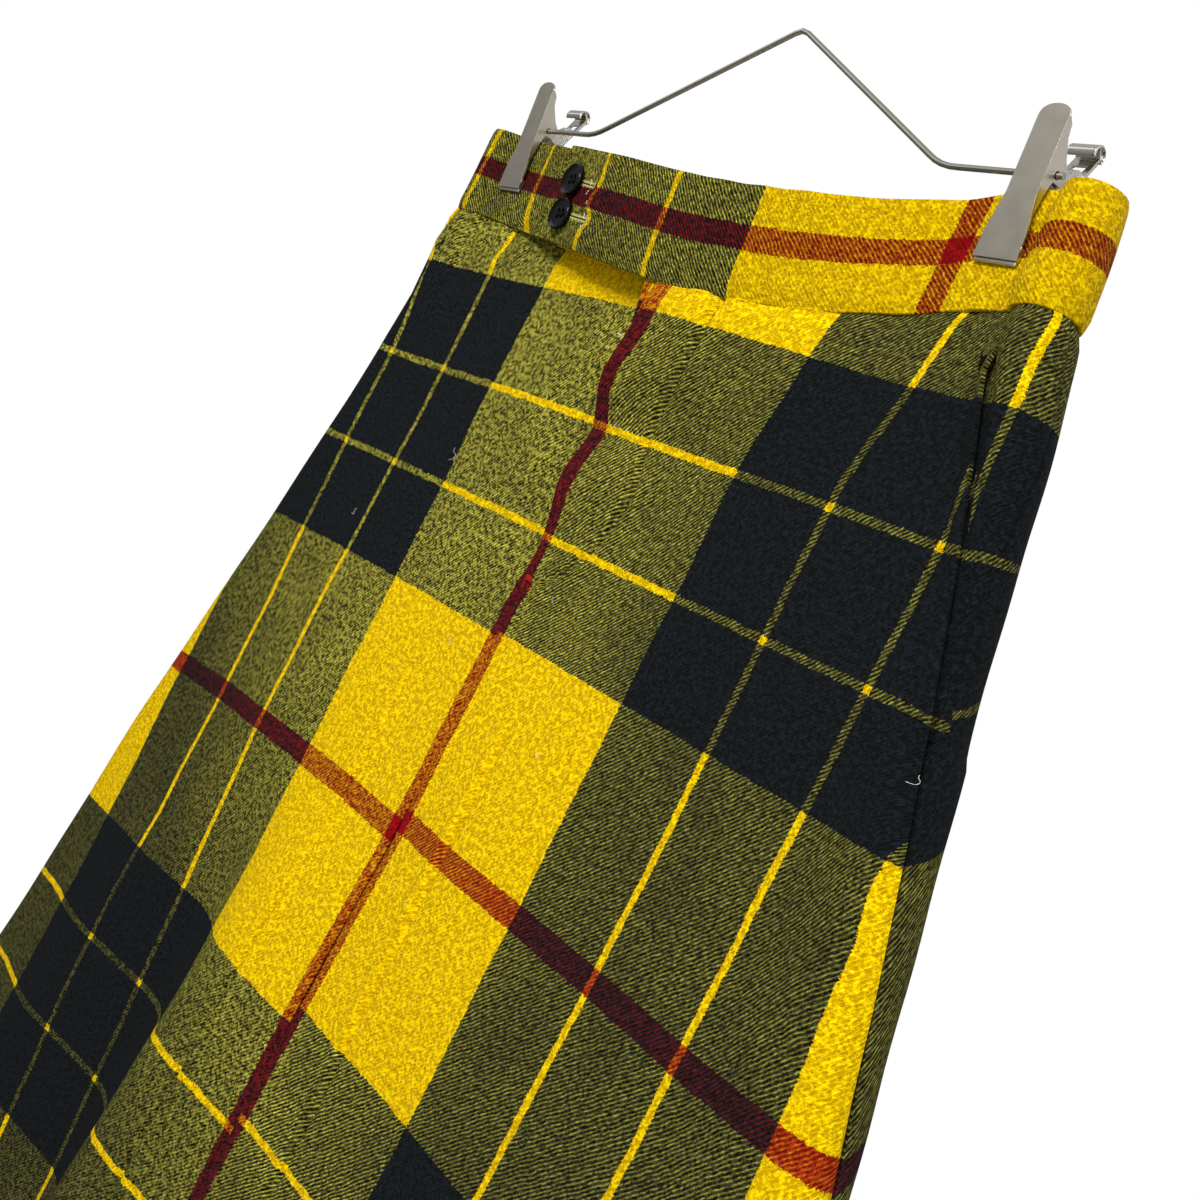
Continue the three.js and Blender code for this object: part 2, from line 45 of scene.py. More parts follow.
# Sizes of the garment, the same as the part's source
SKIRT_LENGTH = 960
BAND_HEIGHT = 46
BAND_WALL = 2.4
CLOTH_WALL = 1.6
SEAM_GAP = 0.5
WAIST_GAP = 0.8
BAND_TOP = -60.5
SAG_FADE = 130
BOW = {"centre": -20, "to_left": 122, "to_right": 150, "top": 24, "seam": 18, "body": 5, "fade": 90}
CLIP_FLAT = 14.5
CLIP_X = 157
CLIP_LINE = -57
BACK_BOW = 7
BACK_BOW_HALF = CLIP_X - 24
BACK_BOW_FADE = (60, 200)
# Drops between which the clips' flat stretches give way to the hanging outline
FREED = (60, 180)
POINTS = {"end": 17, "front": 71, "back": 141}
OUTLINE = {
    "drop": (0, 46, 110, 180, 270, 365, 520, 960),
    "right": (192, 198, 209, 223, 243, 263, 293, 385),
    "left": (-201, -205, -211, -226, -250, -274, -312, -415),
    "round": (12, 14.5, 15.5, 16, 16.5, 19, 26, 44),
    "ahead": (9, 9, 3, 0, 0, 0, 0, 0),
    "depth": (6.2, 6.6, 24, 32, 33, 38, 52, 88),
}
# How far the top edge sags below the level of its ends
SAG = {
    "x": (-205, -165, -130, -95, -50, 0, 25, 60, 95, 128, 160, 205),
    "drop": (-1.2, 0.8, 5, 10.2, 16, 21, 22, 20.6, 16.4, 9, 2, -1.2),
}
SEAM_START = 63
FRONT_RIGHT_WIDTH = 179
FRONT_LEFT_WIDTH = 200
SIDE_FLARE = 0.32

# Hanging folds: crest, how far it drifts to the hem, the drop where it starts, its depth, and its
# width to the left and to the right
FRONT_FOLDS = (
    (-66, -30, 330, 27, 20, 74),
    (-114, -44, 330, -8, 24, 20),
    (118, 66, 420, 17, 52, 46),
    (-196, -96, 400, 15, 44, 42),
    (210, 92, 520, 12, 40, 36),
)
BACK_FOLDS = (
    (-206, -84, 330, 15, 46, 52),
    (-70, -26, 300, 19, 56, 50),
    (78, 30, 340, 17, 52, 54),
    (196, 84, 380, 14, 46, 42),
)
FOLD_REACH = 190
FOLD_MARGIN = 34
TAB_END = -104
UNDERLAP_END = -34
LAP = 3.1
LAP_STEP = (-146, -112)
FLY_WIDTH = 32
FLY_UNDERLAP_END = 184
POCKET = {"top": 66, "bottom": 188, "reach": 10, "wall": 1.2, "clearance": 1.3}
STITCH_INSET = 8
# Drops over which the ripples grow, the pockets open and close, and the fly ends
RIPPLE_GROWS = (50, 120)
POCKET_TOP = (58, 72)
POCKET_BOTTOM = (182, 196)
FLY_FADE = (196, 214)
FLY_END = 203

# The check: half its repeat, and where its stripes lie in it, from the middle of the red stripe
CHECK_HALF = 165.25
RED_HALF = 4.6
YELLOW_EDGE = 89.25
THIN_LINE = (138.1, 141.0)
TWILL_PITCH = 1.45

# Heights where the edges of the check's weft stripes lie, as the cloth hangs, right and left
WEFT_RIGHT = (
    (-1060, -682), (-622, -241.25), (-572, -191), (-520, -139.5), (-467, -89.25), (-378, 0),
    (-288, 89.25), (-243, 139.5), (-190, 191), (-140, 241.25), (-60, 321),
)
WEFT_LEFT = (
    (-1060, -674), (-630, -241.25), (-580, -191), (-527, -139.5), (-475, -89.25), (-383, 0),
    (-290, 89.25), (-241, 139.5), (-188.5, 191), (-136, 241.25), (-60, 317),
)
BAND_RED_DROP = 21.5
BAND_RED_ALONG = 139.3
BAND_LEFT_PHASE = 330
# The left end of the waistband is drawn aslant under the tab: how far its threads move, at each drop
BAND_SLANT = ((0, 0), (20, 7), (33, 13.5), (46, 20))
# The buttonholes draw the threads beside them to the left: how far, at each drop
BUTTONHOLE_PULL = ((0, 8), (9, 6), (16, 5), (21, 8), (26, 8), (28, 3), (34, 2), (36, 5), (46, 6))
# The back panel's check near the right side seam: at each height, the place in the repeat where it
# starts, and how steeply its wefts rise outward, in degrees
BACK_GRAIN = {
    "z": (-1020, -500, -300, -245, -190, -178, -167, -139, -124, -108),
    "start": (196, 200, 206, 203, 193, 191, 188, 178, 173, 165),
    "rise": (36, 36, 36, 33, 12, 8, 5, 0, 0, 0),
}
BACK_GRAIN_REACH = 120
# The right front is drawn over to the right at the waist, and stands as far forward as the waistband
RIGHT_SHIFT = ((46, 15), (64, 11.5), (82, 8), (100, 3.5), (118, 0))
SHIFT_BOW = 0.895
# Below the pocket its warp is drawn out toward the side seam: how far, at each drop
SIDE_DRAW = (
    (196, 0), (214, 10), (224, 15), (236, 15), (255, 10.5), (280, 8.6), (293, 6.6), (318, 5), (420, 0),
)
HEM_DEPTH = 38
# The true side seam, behind the pocket opening: its distance from the opening's edge at each drop
SIDE_SEAM = ((46, 33), (76, 29.7), (94, 24), (112, 18), (131, 13.5), (150, 9), (170, 5.5), (190, 0.5))


def ease(start, end, value):
    """A smooth rise from 0 at the start to 1 at the end."""
    share = np.clip((np.asarray(value, float) - start) / (end - start), 0, 1)
    return share * share * (3 - 2 * share)


def hump(value, centre, width):
    """A smooth swell that is 1 at its centre."""
    return np.exp(-(((np.asarray(value, float) - centre) / width) ** 2))


def curve_at(table, key, column, place):
    """One column of a table at a place between its rows, on a curve that keeps the slope there."""
    rows = np.array(table[key], float)
    values = np.array(table[column], float)
    last = len(rows) - 1
    index = np.arange(last + 1)
    low = np.maximum(0, index - 1)
    high = np.minimum(last, index + 1)
    slopes = (values[high] - values[low]) / (rows[high] - rows[low])
    at = np.clip(np.asarray(place, float), rows[0], rows[-1])
    i = np.clip(np.searchsorted(rows, at, side="right") - 1, 0, last - 1)
    span = rows[i + 1] - rows[i]
    share = (at - rows[i]) / span
    square = share * share
    cube = square * share
    return (
        (2 * cube - 3 * square + 1) * values[i]
        + (cube - 2 * square + share) * span * slopes[i]
        + (3 * square - 2 * cube) * values[i + 1]
        + (cube - square) * span * slopes[i + 1]
    )


def outline_at(column, drop):
    return float(curve_at(OUTLINE, "drop", column, drop))


def height_at(x, drop):
    sag = curve_at(SAG, "x", "drop", x)
    return BAND_TOP - drop - sag * (1 - ease(BAND_HEIGHT, BAND_HEIGHT + SAG_FADE, drop))


def at_drop(table, drop):
    """A value from a table of drops and values, on straight lines between its rows."""
    drops, values = zip(*table)
    return float(np.interp(drop, drops, values))


def front_bow(x, drop, side):
    half = np.where(x < BOW["centre"], BOW["to_left"], BOW["to_right"])
    crown = np.maximum(0, 1 - ((x - BOW["centre"]) / half) ** 2)
    if drop <= BAND_HEIGHT:
        return crown * (BOW["top"] + (BOW["seam"] - BOW["top"]) * drop / BAND_HEIGHT)
    depth = BOW["body"] * math.exp(-(((drop - BAND_HEIGHT) / BOW["fade"]) ** 2))
    if side == "right":
        depth += SHIFT_BOW * at_drop(RIGHT_SHIFT, drop)
    return crown * depth


def folds_at(folds, x, drop):
    total = np.zeros_like(x)
    for crest_top, drift, start, depth, to_left, to_right in folds:
        if drop > start:
            grown = 1 - math.exp(-(drop - start) / FOLD_REACH)
            crest = crest_top + drift * (drop - start) / (SKIRT_LENGTH - start)
            width = np.where(x < crest, to_left, to_right)
            total += depth * grown * np.exp(-(((x - crest) / width) ** 2))
    return total


SOFT_REACH = 9
SOFT_WIDTH = 4.2
loops = {}


def loop_at(drop):
    """The closed outline of the cloth at one drop, from centre front round by the right."""
    drop = round(float(drop), 3)
    if drop in loops:
        return loops[drop]
    columns = ("round", "depth", "right", "left", "ahead")
    turn, depth, right, left, ahead = (outline_at(column, drop) for column in columns)
    freed = float(ease(*FREED, drop))
    flat_right = (CLIP_X + CLIP_FLAT) * (1 - freed) + (right - turn - 1) * freed
    flat_left = (-CLIP_X - CLIP_FLAT) * (1 - freed) + (left + turn + 1) * freed

    def inside(x):
        away_right = ease(0, FOLD_MARGIN, flat_right - x)
        away_left = ease(0, FOLD_MARGIN, x - flat_left)
        return away_right * away_left

    def front(x, side):
        return -front_bow(x, drop, side) - folds_at(FRONT_FOLDS, x, drop) * inside(x)

    back_bow = BACK_BOW * (1 - float(ease(*BACK_BOW_FADE, drop)))

    def back(x):
        crown = np.maximum(0, 1 - (x / BACK_BOW_HALF) ** 2)
        return depth + back_bow * crown + folds_at(BACK_FOLDS, x, drop) * inside(x)

    def end_arc(centre_x, centre_y, pinch_x, side):
        run = abs(centre_x - pinch_x)
        front_angle = math.atan2(centre_y, run) - math.asin(min(1, turn / math.hypot(run, centre_y)))
        back_y = centre_y - depth
        back_angle = math.atan2(back_y, run) + math.asin(min(1, turn / math.hypot(run, back_y)))
        angles = np.linspace(front_angle, math.pi + back_angle, POINTS["end"])
        return centre_x + side * turn * np.sin(angles), centre_y - turn * np.cos(angles)

    right_x, right_y = end_arc(right - turn, turn - ahead, flat_right, 1)
    left_x, left_y = end_arc(left + turn, turn - ahead / 2, flat_left, -1)
    x1 = np.linspace(0, flat_right, POINTS["front"])
    x2 = np.linspace(flat_right, flat_left, POINTS["back"])
    x3 = np.linspace(flat_left, 0, POINTS["front"])
    x = np.concatenate([x1, right_x, x2, left_x[::-1], x3])
    y = np.concatenate([front(x1, "right"), right_y, back(x2), left_y[::-1], front(x3, "left")])
    lengths = np.concatenate([[0], np.cumsum(np.hypot(np.diff(x), np.diff(y)))])
    loops[drop] = softened(x, y, lengths)
    return loops[drop]


def softened(x, y, lengths):
    """The outline at even steps of 1 mm, with its kinks beside the clips rounded off."""
    even = np.linspace(0, lengths[-1], int(lengths[-1]))
    reach = SOFT_REACH
    weights = np.exp(-((np.arange(-reach, reach + 1) / SOFT_WIDTH) ** 2))
    weights /= weights.sum()
    smooth = []
    for values in (x, y):
        at = np.interp(even, lengths, values)
        before = 2 * at[0] - at[reach:0:-1]
        after = 2 * at[-1] - at[-2 : -reach - 2 : -1]
        smooth.append(np.convolve(np.concatenate([before, at, after]), weights, mode="valid"))
    x, y = smooth
    lengths = np.concatenate([[0], np.cumsum(np.hypot(np.diff(x), np.diff(y)))])
    return x, y, lengths, lengths[-1]


def total_at(drop):
    return loop_at(drop)[3]


def on_loop(loop, along, side):
    """Places along the outline as x and y. The two fronts go straight on past centre front."""
    x, y, lengths, total = loop
    place = np.mod(along, total)
    at_x = np.interp(place, lengths, x)
    at_y = np.interp(place, lengths, y)
    past = {"right": along < 0, "left": along > 0, None: np.zeros(len(along), bool)}[side]
    edge = y[0] if side == "right" else y[-1]
    return np.where(past, along, at_x), np.where(past, edge, at_y)


def cloth_row(drop, along, out, side=None):
    """Points in metres of the cloth at one drop, at places along the outline, pushed out from it."""
    along = np.asarray(along, float)
    loop = loop_at(drop)
    x, y = on_loop(loop, along, side)
    before_x, before_y = on_loop(loop, along - 2, side)
    after_x, after_y = on_loop(loop, along + 2, side)
    dx = after_x - before_x
    dy = after_y - before_y
    size = np.hypot(dx, dy)
    z = height_at(x, drop)
    return np.stack([x + dy / size * out, y - dx / size * out, z], axis=-1) * MM


BODY_TOP = BAND_HEIGHT + 0.05


def body_row(drop, along, out, side):
    """As cloth_row, with rows that run up behind the waistband where it overhangs the body."""
    points = cloth_row(max(drop, BODY_TOP), along, out, side)
    if drop < BODY_TOP:
        x = points[:, 0] / MM
        overhang = front_bow(x, BAND_HEIGHT, side) - front_bow(x, BODY_TOP, side)
        points[:, 2] += (BODY_TOP - drop) * np.clip((overhang - 4) / 5, 0.02, 1) * MM
    return points


def seam_right(drop):
    return FRONT_RIGHT_WIDTH + SIDE_FLARE * (drop - SEAM_START)


def seam_left(drop):
    return FRONT_LEFT_WIDTH + SIDE_FLARE * (drop - SEAM_START)


# The fly's folded edge, and the line of stitches that holds it, at each drop
FLY_EDGE = ((46, -5), (98, -5.5), (124, -3), (150, -5), (183, -1.5), (202, 0), (960, 0))
FLY_STITCH = ((46, 33.5), (122, 33), (143, 37), (166, 35.5), (182, 30), (196, 18), (203, 6))


# How the fly's lap stands out above its stitches: height, middle and width of each swell
FLY_BULGES = ((4.2, 96, 20), (3.4, 156, 17), (-0.6, 124, 9))


def right_shift(drop):
    return at_drop(RIGHT_SHIFT, drop)


def fly_edge(drop):
    return at_drop(FLY_EDGE, drop) + right_shift(drop)


def fly_stitch(drop):
    return at_drop(FLY_STITCH, drop) + right_shift(drop)


# Small forms of the cloth: how deep, how wide, and over which drops
TUCK = {"depth": 1.6, "reach": 4.0}
GATHER = {"depth": 0.5, "reach": 26.0, "wave": 4.3, "drift": 9.0}
SEAM_ROLL = {"depth": 0.9, "width": 1.6}
CREASE = {"dent": 2.3, "sharp": 1.4, "ridge": 1.3, "starts": (236, 290), "fades": (420, 800)}
HEM_GROOVE = {"depth": 0.7, "width": 2.4}
FLY_GROOVE = {"depth": 2.6, "width": 1.9}
TAB_FADE = (BAND_HEIGHT + 20, 150)
FLY_LAP_STEP = (-34, -12)
CRUMPLE = {"depth": 0.9, "drop": 57, "width": 13, "sides": (-104, -126)}
CREASE_RIGHT = 37
CREASE_LEFT = -47


def ripple(along, drop, seed):
    """Slight uneven waves of hanging cloth, in millimetres."""
    steep = 0.8 * np.sin(along / 23.0 + drop / 61.0 + seed)
    broad = 0.6 * np.sin(along / 37.0 - drop / 44.0 + 2.1 * seed)
    small = 0.42 * np.sin(along / 11.5 + drop / 17.0 + 0.7 * seed) * np.sin(drop / 29.0 + seed)
    return steep + broad + small


def under_band(along, drop):
    """The body comes out from under the waistband, a little gathered."""
    tucked = -TUCK["depth"] * math.exp(-((max(0, drop - BAND_HEIGHT) / TUCK["reach"]) ** 2))
    fading = GATHER["depth"] * math.exp(-((drop - BAND_HEIGHT) / GATHER["reach"]))
    return tucked + fading * np.sin(along / GATHER["wave"] + np.sin(along / GATHER["drift"]))


def seam_roll(distance):
    """Cloth turns in at a seam's edge."""
    return -SEAM_ROLL["depth"] * hump(distance, 0, SEAM_ROLL["width"])


def pressed_crease(distance, drop):
    """A crease that pressing left along the warp: a sharp dent with a low ridge beside it."""
    share = ease(*CREASE["starts"], drop) * (1 - 0.5 * ease(*CREASE["fades"], drop))
    dent = np.exp(-np.abs(distance) / CREASE["sharp"])
    return share * (CREASE["ridge"] * hump(distance, -4.5, 3) - CREASE["dent"] * dent)


def hem_fold(drop):
    """The turned-up hem shows as a faint groove where it is caught."""
    return -HEM_GROOVE["depth"] * float(hump(drop, SKIRT_LENGTH - HEM_DEPTH, HEM_GROOVE["width"]))


def hanging(along, drop, seed):
    """What the three body panels share: ripples, the gather under the waistband, and the hem."""
    return ripple(along, drop, seed) * ease(*RIPPLE_GROWS, drop) + under_band(along, drop) + hem_fold(drop)


def pocket_share(drop):
    return float(ease(*POCKET_TOP, drop)) * (1 - float(ease(*POCKET_BOTTOM, drop)))


def relief_right(along, drop):
    out = hanging(along, drop, 0.6)
    edge = fly_edge(drop)
    stitch = fly_stitch(min(drop, FLY_END))
    fly_share = 1 - float(ease(*FLY_FADE, drop))
    across = np.clip((along - edge) / max(4.0, stitch - edge), 0, 1)
    bulge = sum(height * float(hump(drop, middle, width)) for height, middle, width in FLY_BULGES)
    out += fly_share * (bulge * np.cos(across * math.pi / 2) ** 1.5 + 0.8 * (1 - across**4))
    out -= FLY_GROOVE["depth"] * fly_share * hump(along, stitch, FLY_GROOVE["width"])
    out += 1.1 * fly_share * hump(along, stitch + 6, 4.5)
    out += pressed_crease(along - CREASE_RIGHT, drop) - 0.9 * ease(236, 300, drop) * hump(along, 9, 4)
    distance = seam_right(drop) - along
    pocket = pocket_share(drop)
    out += seam_roll(distance) * (1 - pocket)
    out += pocket * (2.6 * hump(distance, 0, 6) - 1.3 * hump(distance, STITCH_INSET, 1.7))
    out += seam_roll(along - edge) * 0.7
    return out


def relief_left(along, drop):
    out = hanging(along, drop, 2.3)
    under_tab = (1 - float(ease(*TAB_FADE, drop))) * ease(*LAP_STEP, along)
    under_fly = (1 - float(ease(186, 216, drop))) * ease(*FLY_LAP_STEP, along)
    out -= LAP * np.maximum(under_tab, under_fly)
    out += pressed_crease(CREASE_LEFT - along, drop)
    crumple = np.sin(along / 5.1 + drop / 4.0) + 0.6 * np.sin(along / 3.1 - drop / 7.0)
    crumple = CRUMPLE["depth"] * crumple * float(hump(drop, CRUMPLE["drop"], CRUMPLE["width"]))
    out += crumple * ease(*CRUMPLE["sides"], along)
    distance = along + seam_left(drop)
    pocket = pocket_share(drop)
    out += seam_roll(distance) * (1 - pocket)
    out += pocket * (1.2 * hump(distance, 0, 6) - 1.2 * hump(distance, STITCH_INSET, 1.7))
    return out + seam_roll(along) * float(ease(*FLY_FADE, drop))


def relief_back(along, drop):
    total = total_at(drop)
    out = hanging(along, drop, 4.4)
    first = along - seam_right(drop)
    second = total - seam_left(drop) - along
    pocket = pocket_share(drop)
    out += (seam_roll(first) + seam_roll(second)) * (1 - 0.5 * pocket)
    out -= pocket * (2.0 * hump(first, 0, 5) + 0.8 * hump(second, 0, 5))
    open_share = 1 - float(ease(186, 192, drop))
    for side in (first, second):
        from_seam = side - at_drop(SIDE_SEAM, drop)
        out += open_share * (0.5 * np.tanh(-from_seam / 1.2) - 1.1 * hump(from_seam, 0, 1.1))
    return out


def relief_band(along, drop):
    total = total_at(drop)
    from_front = along - total
    out = 0.5 * np.sin(along / 31.0 + drop / 13.0) + 0.25 * np.sin(along / 9.0 - drop / 8.0)
    out += 0.45 * np.sin((along - 0.7 * drop) / 3.4) * hump(along, 48, 34)
    # Turned in a little at the seam, and less so at the folded top
    out -= 1.2 * math.exp(-(((BAND_HEIGHT - drop) / 2.6) ** 2)) + 0.5 * math.exp(-((drop / 1.6) ** 2))
    out = out * (1 - hump(along, CLIP_X, 20)) * (1 - hump(from_front, -CLIP_X - 2, 20))
    out -= LAP * np.where(from_front > LAP_STEP[0], ease(*LAP_STEP, from_front), 0)
    return out


EDGE_STEPS = (0.5, 1.2, 2.2)


def stops(corners, counts):
    """Places from the first corner to the last, so many between each two, and closer at the ends."""
    places = [corners[0], *(corners[0] + step for step in EDGE_STEPS)]
    last = len(counts) - 1
    for i, count in enumerate(counts):
        start = corners[i] + (EDGE_STEPS[-1] if i == 0 else 0)
        end = corners[i + 1] - (EDGE_STEPS[-1] if i == last else 0)
        places.extend(np.linspace(start, end, count + 1)[1:])
    places.extend(corners[-1] - step for step in EDGE_STEPS[1::-1])
    places.append(corners[-1])
    return np.array(places)


def sheet_grid(name, drops, corners, counts, relief, fabric, wall, lay=cloth_row, side=None):
    """A sheet of cloth: a grid moved row by row onto the outline, then given its thickness."""
    bm = bmesh.new()
    row_points = []
    row_marks = []
    for drop in drops:
        along = stops(corners(drop), counts)
        points = lay(drop, along, relief(along, drop), side)
        row_points.append(points)
        row_marks.append(fabric(along, drop, points[:, 2] / MM))
    count = len(along) - 1
    bmesh.ops.create_grid(bm, x_segments=count, y_segments=len(drops) - 1, size=0.5)
    layer = bm.loops.layers.uv.new("fabric")
    cell = {}
    for vert in bm.verts:
        column = round((vert.co.x + 0.5) * count)
        row = round((0.5 - vert.co.y) * (len(drops) - 1))
        cell[vert.index] = (row, column)
    bm.verts.index_update()
    for vert in bm.verts:
        row, column = cell[vert.index]
        vert.co = Vector(row_points[row][column])
    for face in bm.faces:
        face.smooth = True
        for loop in face.loops:
            row, column = cell[loop.vert.index]
            loop[layer].uv = row_marks[row][column]
    return give_wall(new_piece(name, bm), wall, offset=-1, edge=wall * 0.42, angle=62)


def give_wall(piece, wall, offset, edge, angle):
    """Gives a sheet its thickness in millimetres, then rounds its edges."""
    solid = piece.modifiers.new("wall", "SOLIDIFY")
    solid.thickness = wall * MM
    solid.offset = offset
    solid.use_even_offset = False
    return round_edges(piece, edge, angle)


def round_edges(piece, width, angle):
    roll = piece.modifiers.new("rounded edges", "BEVEL")
    roll.width = width * MM
    roll.segments = 3
    roll.profile = 0.5
    roll.limit_method = "ANGLE"
    roll.angle_limit = math.radians(angle)
    return piece


def new_piece(name, bm, smooth=False):
    if smooth:
        for face in bm.faces:
            face.smooth = True
    mesh = bpy.data.meshes.new(name)
    bm.to_mesh(mesh)
    bm.free()
    piece = bpy.data.objects.new(name, mesh)
    bpy.context.scene.collection.objects.link(piece)
    return piece


def finish_piece(piece, material, slot, *nodes):
    """Gives a piece its material, hides the CAD nodes that it stands in for, if any, and hangs
    it under the root. slot is not used.
    """
    piece.data.materials.clear()
    piece.data.materials.append(material)
    if nodes:
        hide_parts(*nodes)
    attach(piece, "root")
    return piece


# Materials

def linear(code):
    """An sRGB hex colour as linear red, green, blue and alpha."""
    parts = [int(code[i : i + 2], 16) / 255 for i in (1, 3, 5)]
    return tuple(p / 12.92 if p <= 0.04045 else ((p + 0.055) / 1.055) ** 2.4 for p in parts) + (1.0,)


def add(tree, kind, inputs=(), out=0, **settings):
    """Adds a shader node with its settings, its ramp stops, and its inputs, each a value or a link.

    Gives back one of its outputs. In a map range, inputs 1 and 2 are the range that is read and
    3 and 4 the one it is carried to."""
    node = tree.nodes.new(f"ShaderNode{kind}")
    for name, value in settings.items():
        if name == "stops":
            while len(node.color_ramp.elements) < len(value):
                node.color_ramp.elements.new(1.0)
            for element, (position, colour) in zip(node.color_ramp.elements, value):
                element.position = position
                element.color = colour
        elif name == "ramp":
            node.color_ramp.interpolation = value
        else:
            setattr(node, name, value)
    connect(tree, node, dict(inputs))
    return node.outputs[out]


def connect(tree, node, inputs):
    """Sets a node's inputs, each to a value or by a link."""
    for name, value in inputs.items():
        if isinstance(value, bpy.types.NodeSocket):
            tree.links.new(value, node.inputs[name])
        else:
            node.inputs[name].default_value = value


def new_material(name):
    material = bpy.data.materials.new(name)
    material.use_nodes = True
    tree = material.node_tree
    shader = tree.nodes["Principled BSDF"]
    return material, tree, shader


# How far yarns wander and how ragged a stripe's edge is, in millimetres from side to side
WANDER = 1.6
RAGGED = 2.2
# How much of the lighter yarn shows where the twill is clear, where it is brushed, and in the deepest painted
# shade on the lower left
LINE_COVER = 0.85
NAP_COVER = 0.45
PAINTED_SHADE_COVER = 0.25
# The way the painted shade lifts away from the lower left, and between which places along it, in metres
PAINTED_SHADE_TOWARD = (1.4, 0.0, 1.0)
PAINTED_SHADE_SPAN = (-0.72, -0.48)
# Where it is worn away, in millimetres across the cloth
WEAR_FADE = 12
WORN_SPAN = (30.0, 110.0)
# Brightness that tells black yarn from red, and red from yellow
BLACK_BELOW = 0.02
YELLOW_ABOVE = 0.3

YELLOW = linear("#eec602")
RED = linear("#930a0f")
BLACK = linear("#15191b")
OLIVE_TIPS = linear("#d4cc44")


def checked_wool(name, slope, brushed, worn_from, worn_side, depth):
    """Brushed wool twill, yarn-dyed in a large check: matt, with a short nap over the twill lines.

    slope is the side that the twill rises to: 1 is to the right, -1 to the left. brushed is how
    much of the nap still stands right of worn_from, where it has been rubbed down to clear lines, and
    worn_side is how much of the lighter yarn is left on top at the right side. depth scales the
    whole colour down as painted shade, for a copy of the cloth that is to look less lit."""
    material, tree, shader = new_material(name)
    place = add(tree, "UVMap", uv_map="fabric")
    millimetres = add(tree, "VectorMath", {0: place, "Scale": 1000.0}, operation="SCALE")
    # Yarns don't run quite straight after brushing
    wander = add(tree, "TexNoise", {"Vector": millimetres, "Scale": 0.16, "Detail": 2.0}, out="Color")
    centred = add(tree, "VectorMath", {0: wander, 1: (0.5, 0.5, 0.5)}, operation="SUBTRACT")
    pushed = add(
        tree, "VectorMath",
        {0: centred, 1: (WANDER, WANDER, 0.0), 2: millimetres}, operation="MULTIPLY_ADD",
    )
    # The edges of the stripes are ragged by a yarn or so
    ragged = add(tree, "TexNoise", {"Vector": millimetres, "Scale": 1.3, "Detail": 2.0}, out="Color")
    ragged = add(tree, "VectorMath", {0: ragged, 1: (0.5, 0.5, 0.5)}, operation="SUBTRACT")
    edges = add(
        tree, "VectorMath", {0: ragged, 1: (RAGGED, RAGGED, 0.0), 2: pushed}, operation="MULTIPLY_ADD",
    )
    yarns = []
    for axis in ("X", "Y"):
        part = add(tree, "SeparateXYZ", {0: edges}, out=axis)
        folded = add(tree, "Math", {0: part, 1: CHECK_HALF}, operation="PINGPONG")
        share = add(tree, "Math", {0: folded, 1: CHECK_HALF}, operation="DIVIDE")
        colours = (
            (0.0, RED), (RED_HALF / CHECK_HALF, YELLOW), (YELLOW_EDGE / CHECK_HALF, BLACK),
            (THIN_LINE[0] / CHECK_HALF, YELLOW), (THIN_LINE[1] / CHECK_HALF, BLACK),
        )
        yarns.append(add(tree, "ValToRGB", {0: share}, ramp="CONSTANT", stops=colours))
    warp, weft = yarns
    warp_light = add(tree, "RGBToBW", {0: warp})
    weft_light = add(tree, "RGBToBW", {0: weft})
    weft_lighter = add(tree, "Math", {0: weft_light, 1: warp_light}, operation="GREATER_THAN")
    darker = add(tree, "Mix", {0: weft_lighter, 6: weft, 7: warp}, data_type="RGBA", out=2)
    lighter = add(tree, "Mix", {0: weft_lighter, 6: warp, 7: weft}, data_type="RGBA", out=2)
    # Yellow fibres lying over black look paler and greener than yellow on yellow
    lows = add(tree, "Math", {0: warp_light, 1: weft_light}, operation="MINIMUM")
    highs = add(tree, "Math", {0: warp_light, 1: weft_light}, operation="MAXIMUM")
    on_black = add(tree, "Math", {0: lows, 1: BLACK_BELOW}, operation="LESS_THAN")
    is_yellow = add(tree, "Math", {0: highs, 1: YELLOW_ABOVE}, operation="GREATER_THAN")
    olive = add(tree, "Math", {0: on_black, 1: is_yellow}, operation="MULTIPLY")
    lighter = add(tree, "Mix", {0: olive, 6: lighter, 7: OLIVE_TIPS}, data_type="RGBA", out=2)
    # Twill lines, in a diagonal of 45 degrees
    step = 1 / (math.sqrt(2) * TWILL_PITCH)
    across = add(
        tree, "VectorMath", {0: pushed, 1: (-slope * step, step, 0)}, operation="DOT_PRODUCT", out="Value",
    )
    turn = add(tree, "Math", {0: across, 1: 2 * math.pi}, operation="MULTIPLY")
    wave = add(tree, "Math", {0: turn}, operation="SINE")
    line = add(
        tree, "MapRange", {0: wave, 1: -0.1, 2: 0.85, 3: 0.0, 4: 1.0}, interpolation_type="SMOOTHSTEP",
    )
    # The floats of the twill: dashes of 2 to 4 mm along the line, 0.7 mm across it
    turned = add(
        tree, "VectorRotate",
        {"Vector": millimetres, "Angle": -slope * math.radians(45)}, rotation_type="Z_AXIS",
    )
    dashed = add(tree, "Mapping", {"Vector": turned, "Scale": (0.42, 1.5, 1.0)})
    dashes = add(tree, "TexNoise", {"Vector": dashed, "Scale": 1.0, "Detail": 2.5, "Roughness": 0.6})
    floats = add(tree, "MapRange", {0: dashes, 1: 0.38, 2: 0.60, 3: 0.0, 4: 1.0})
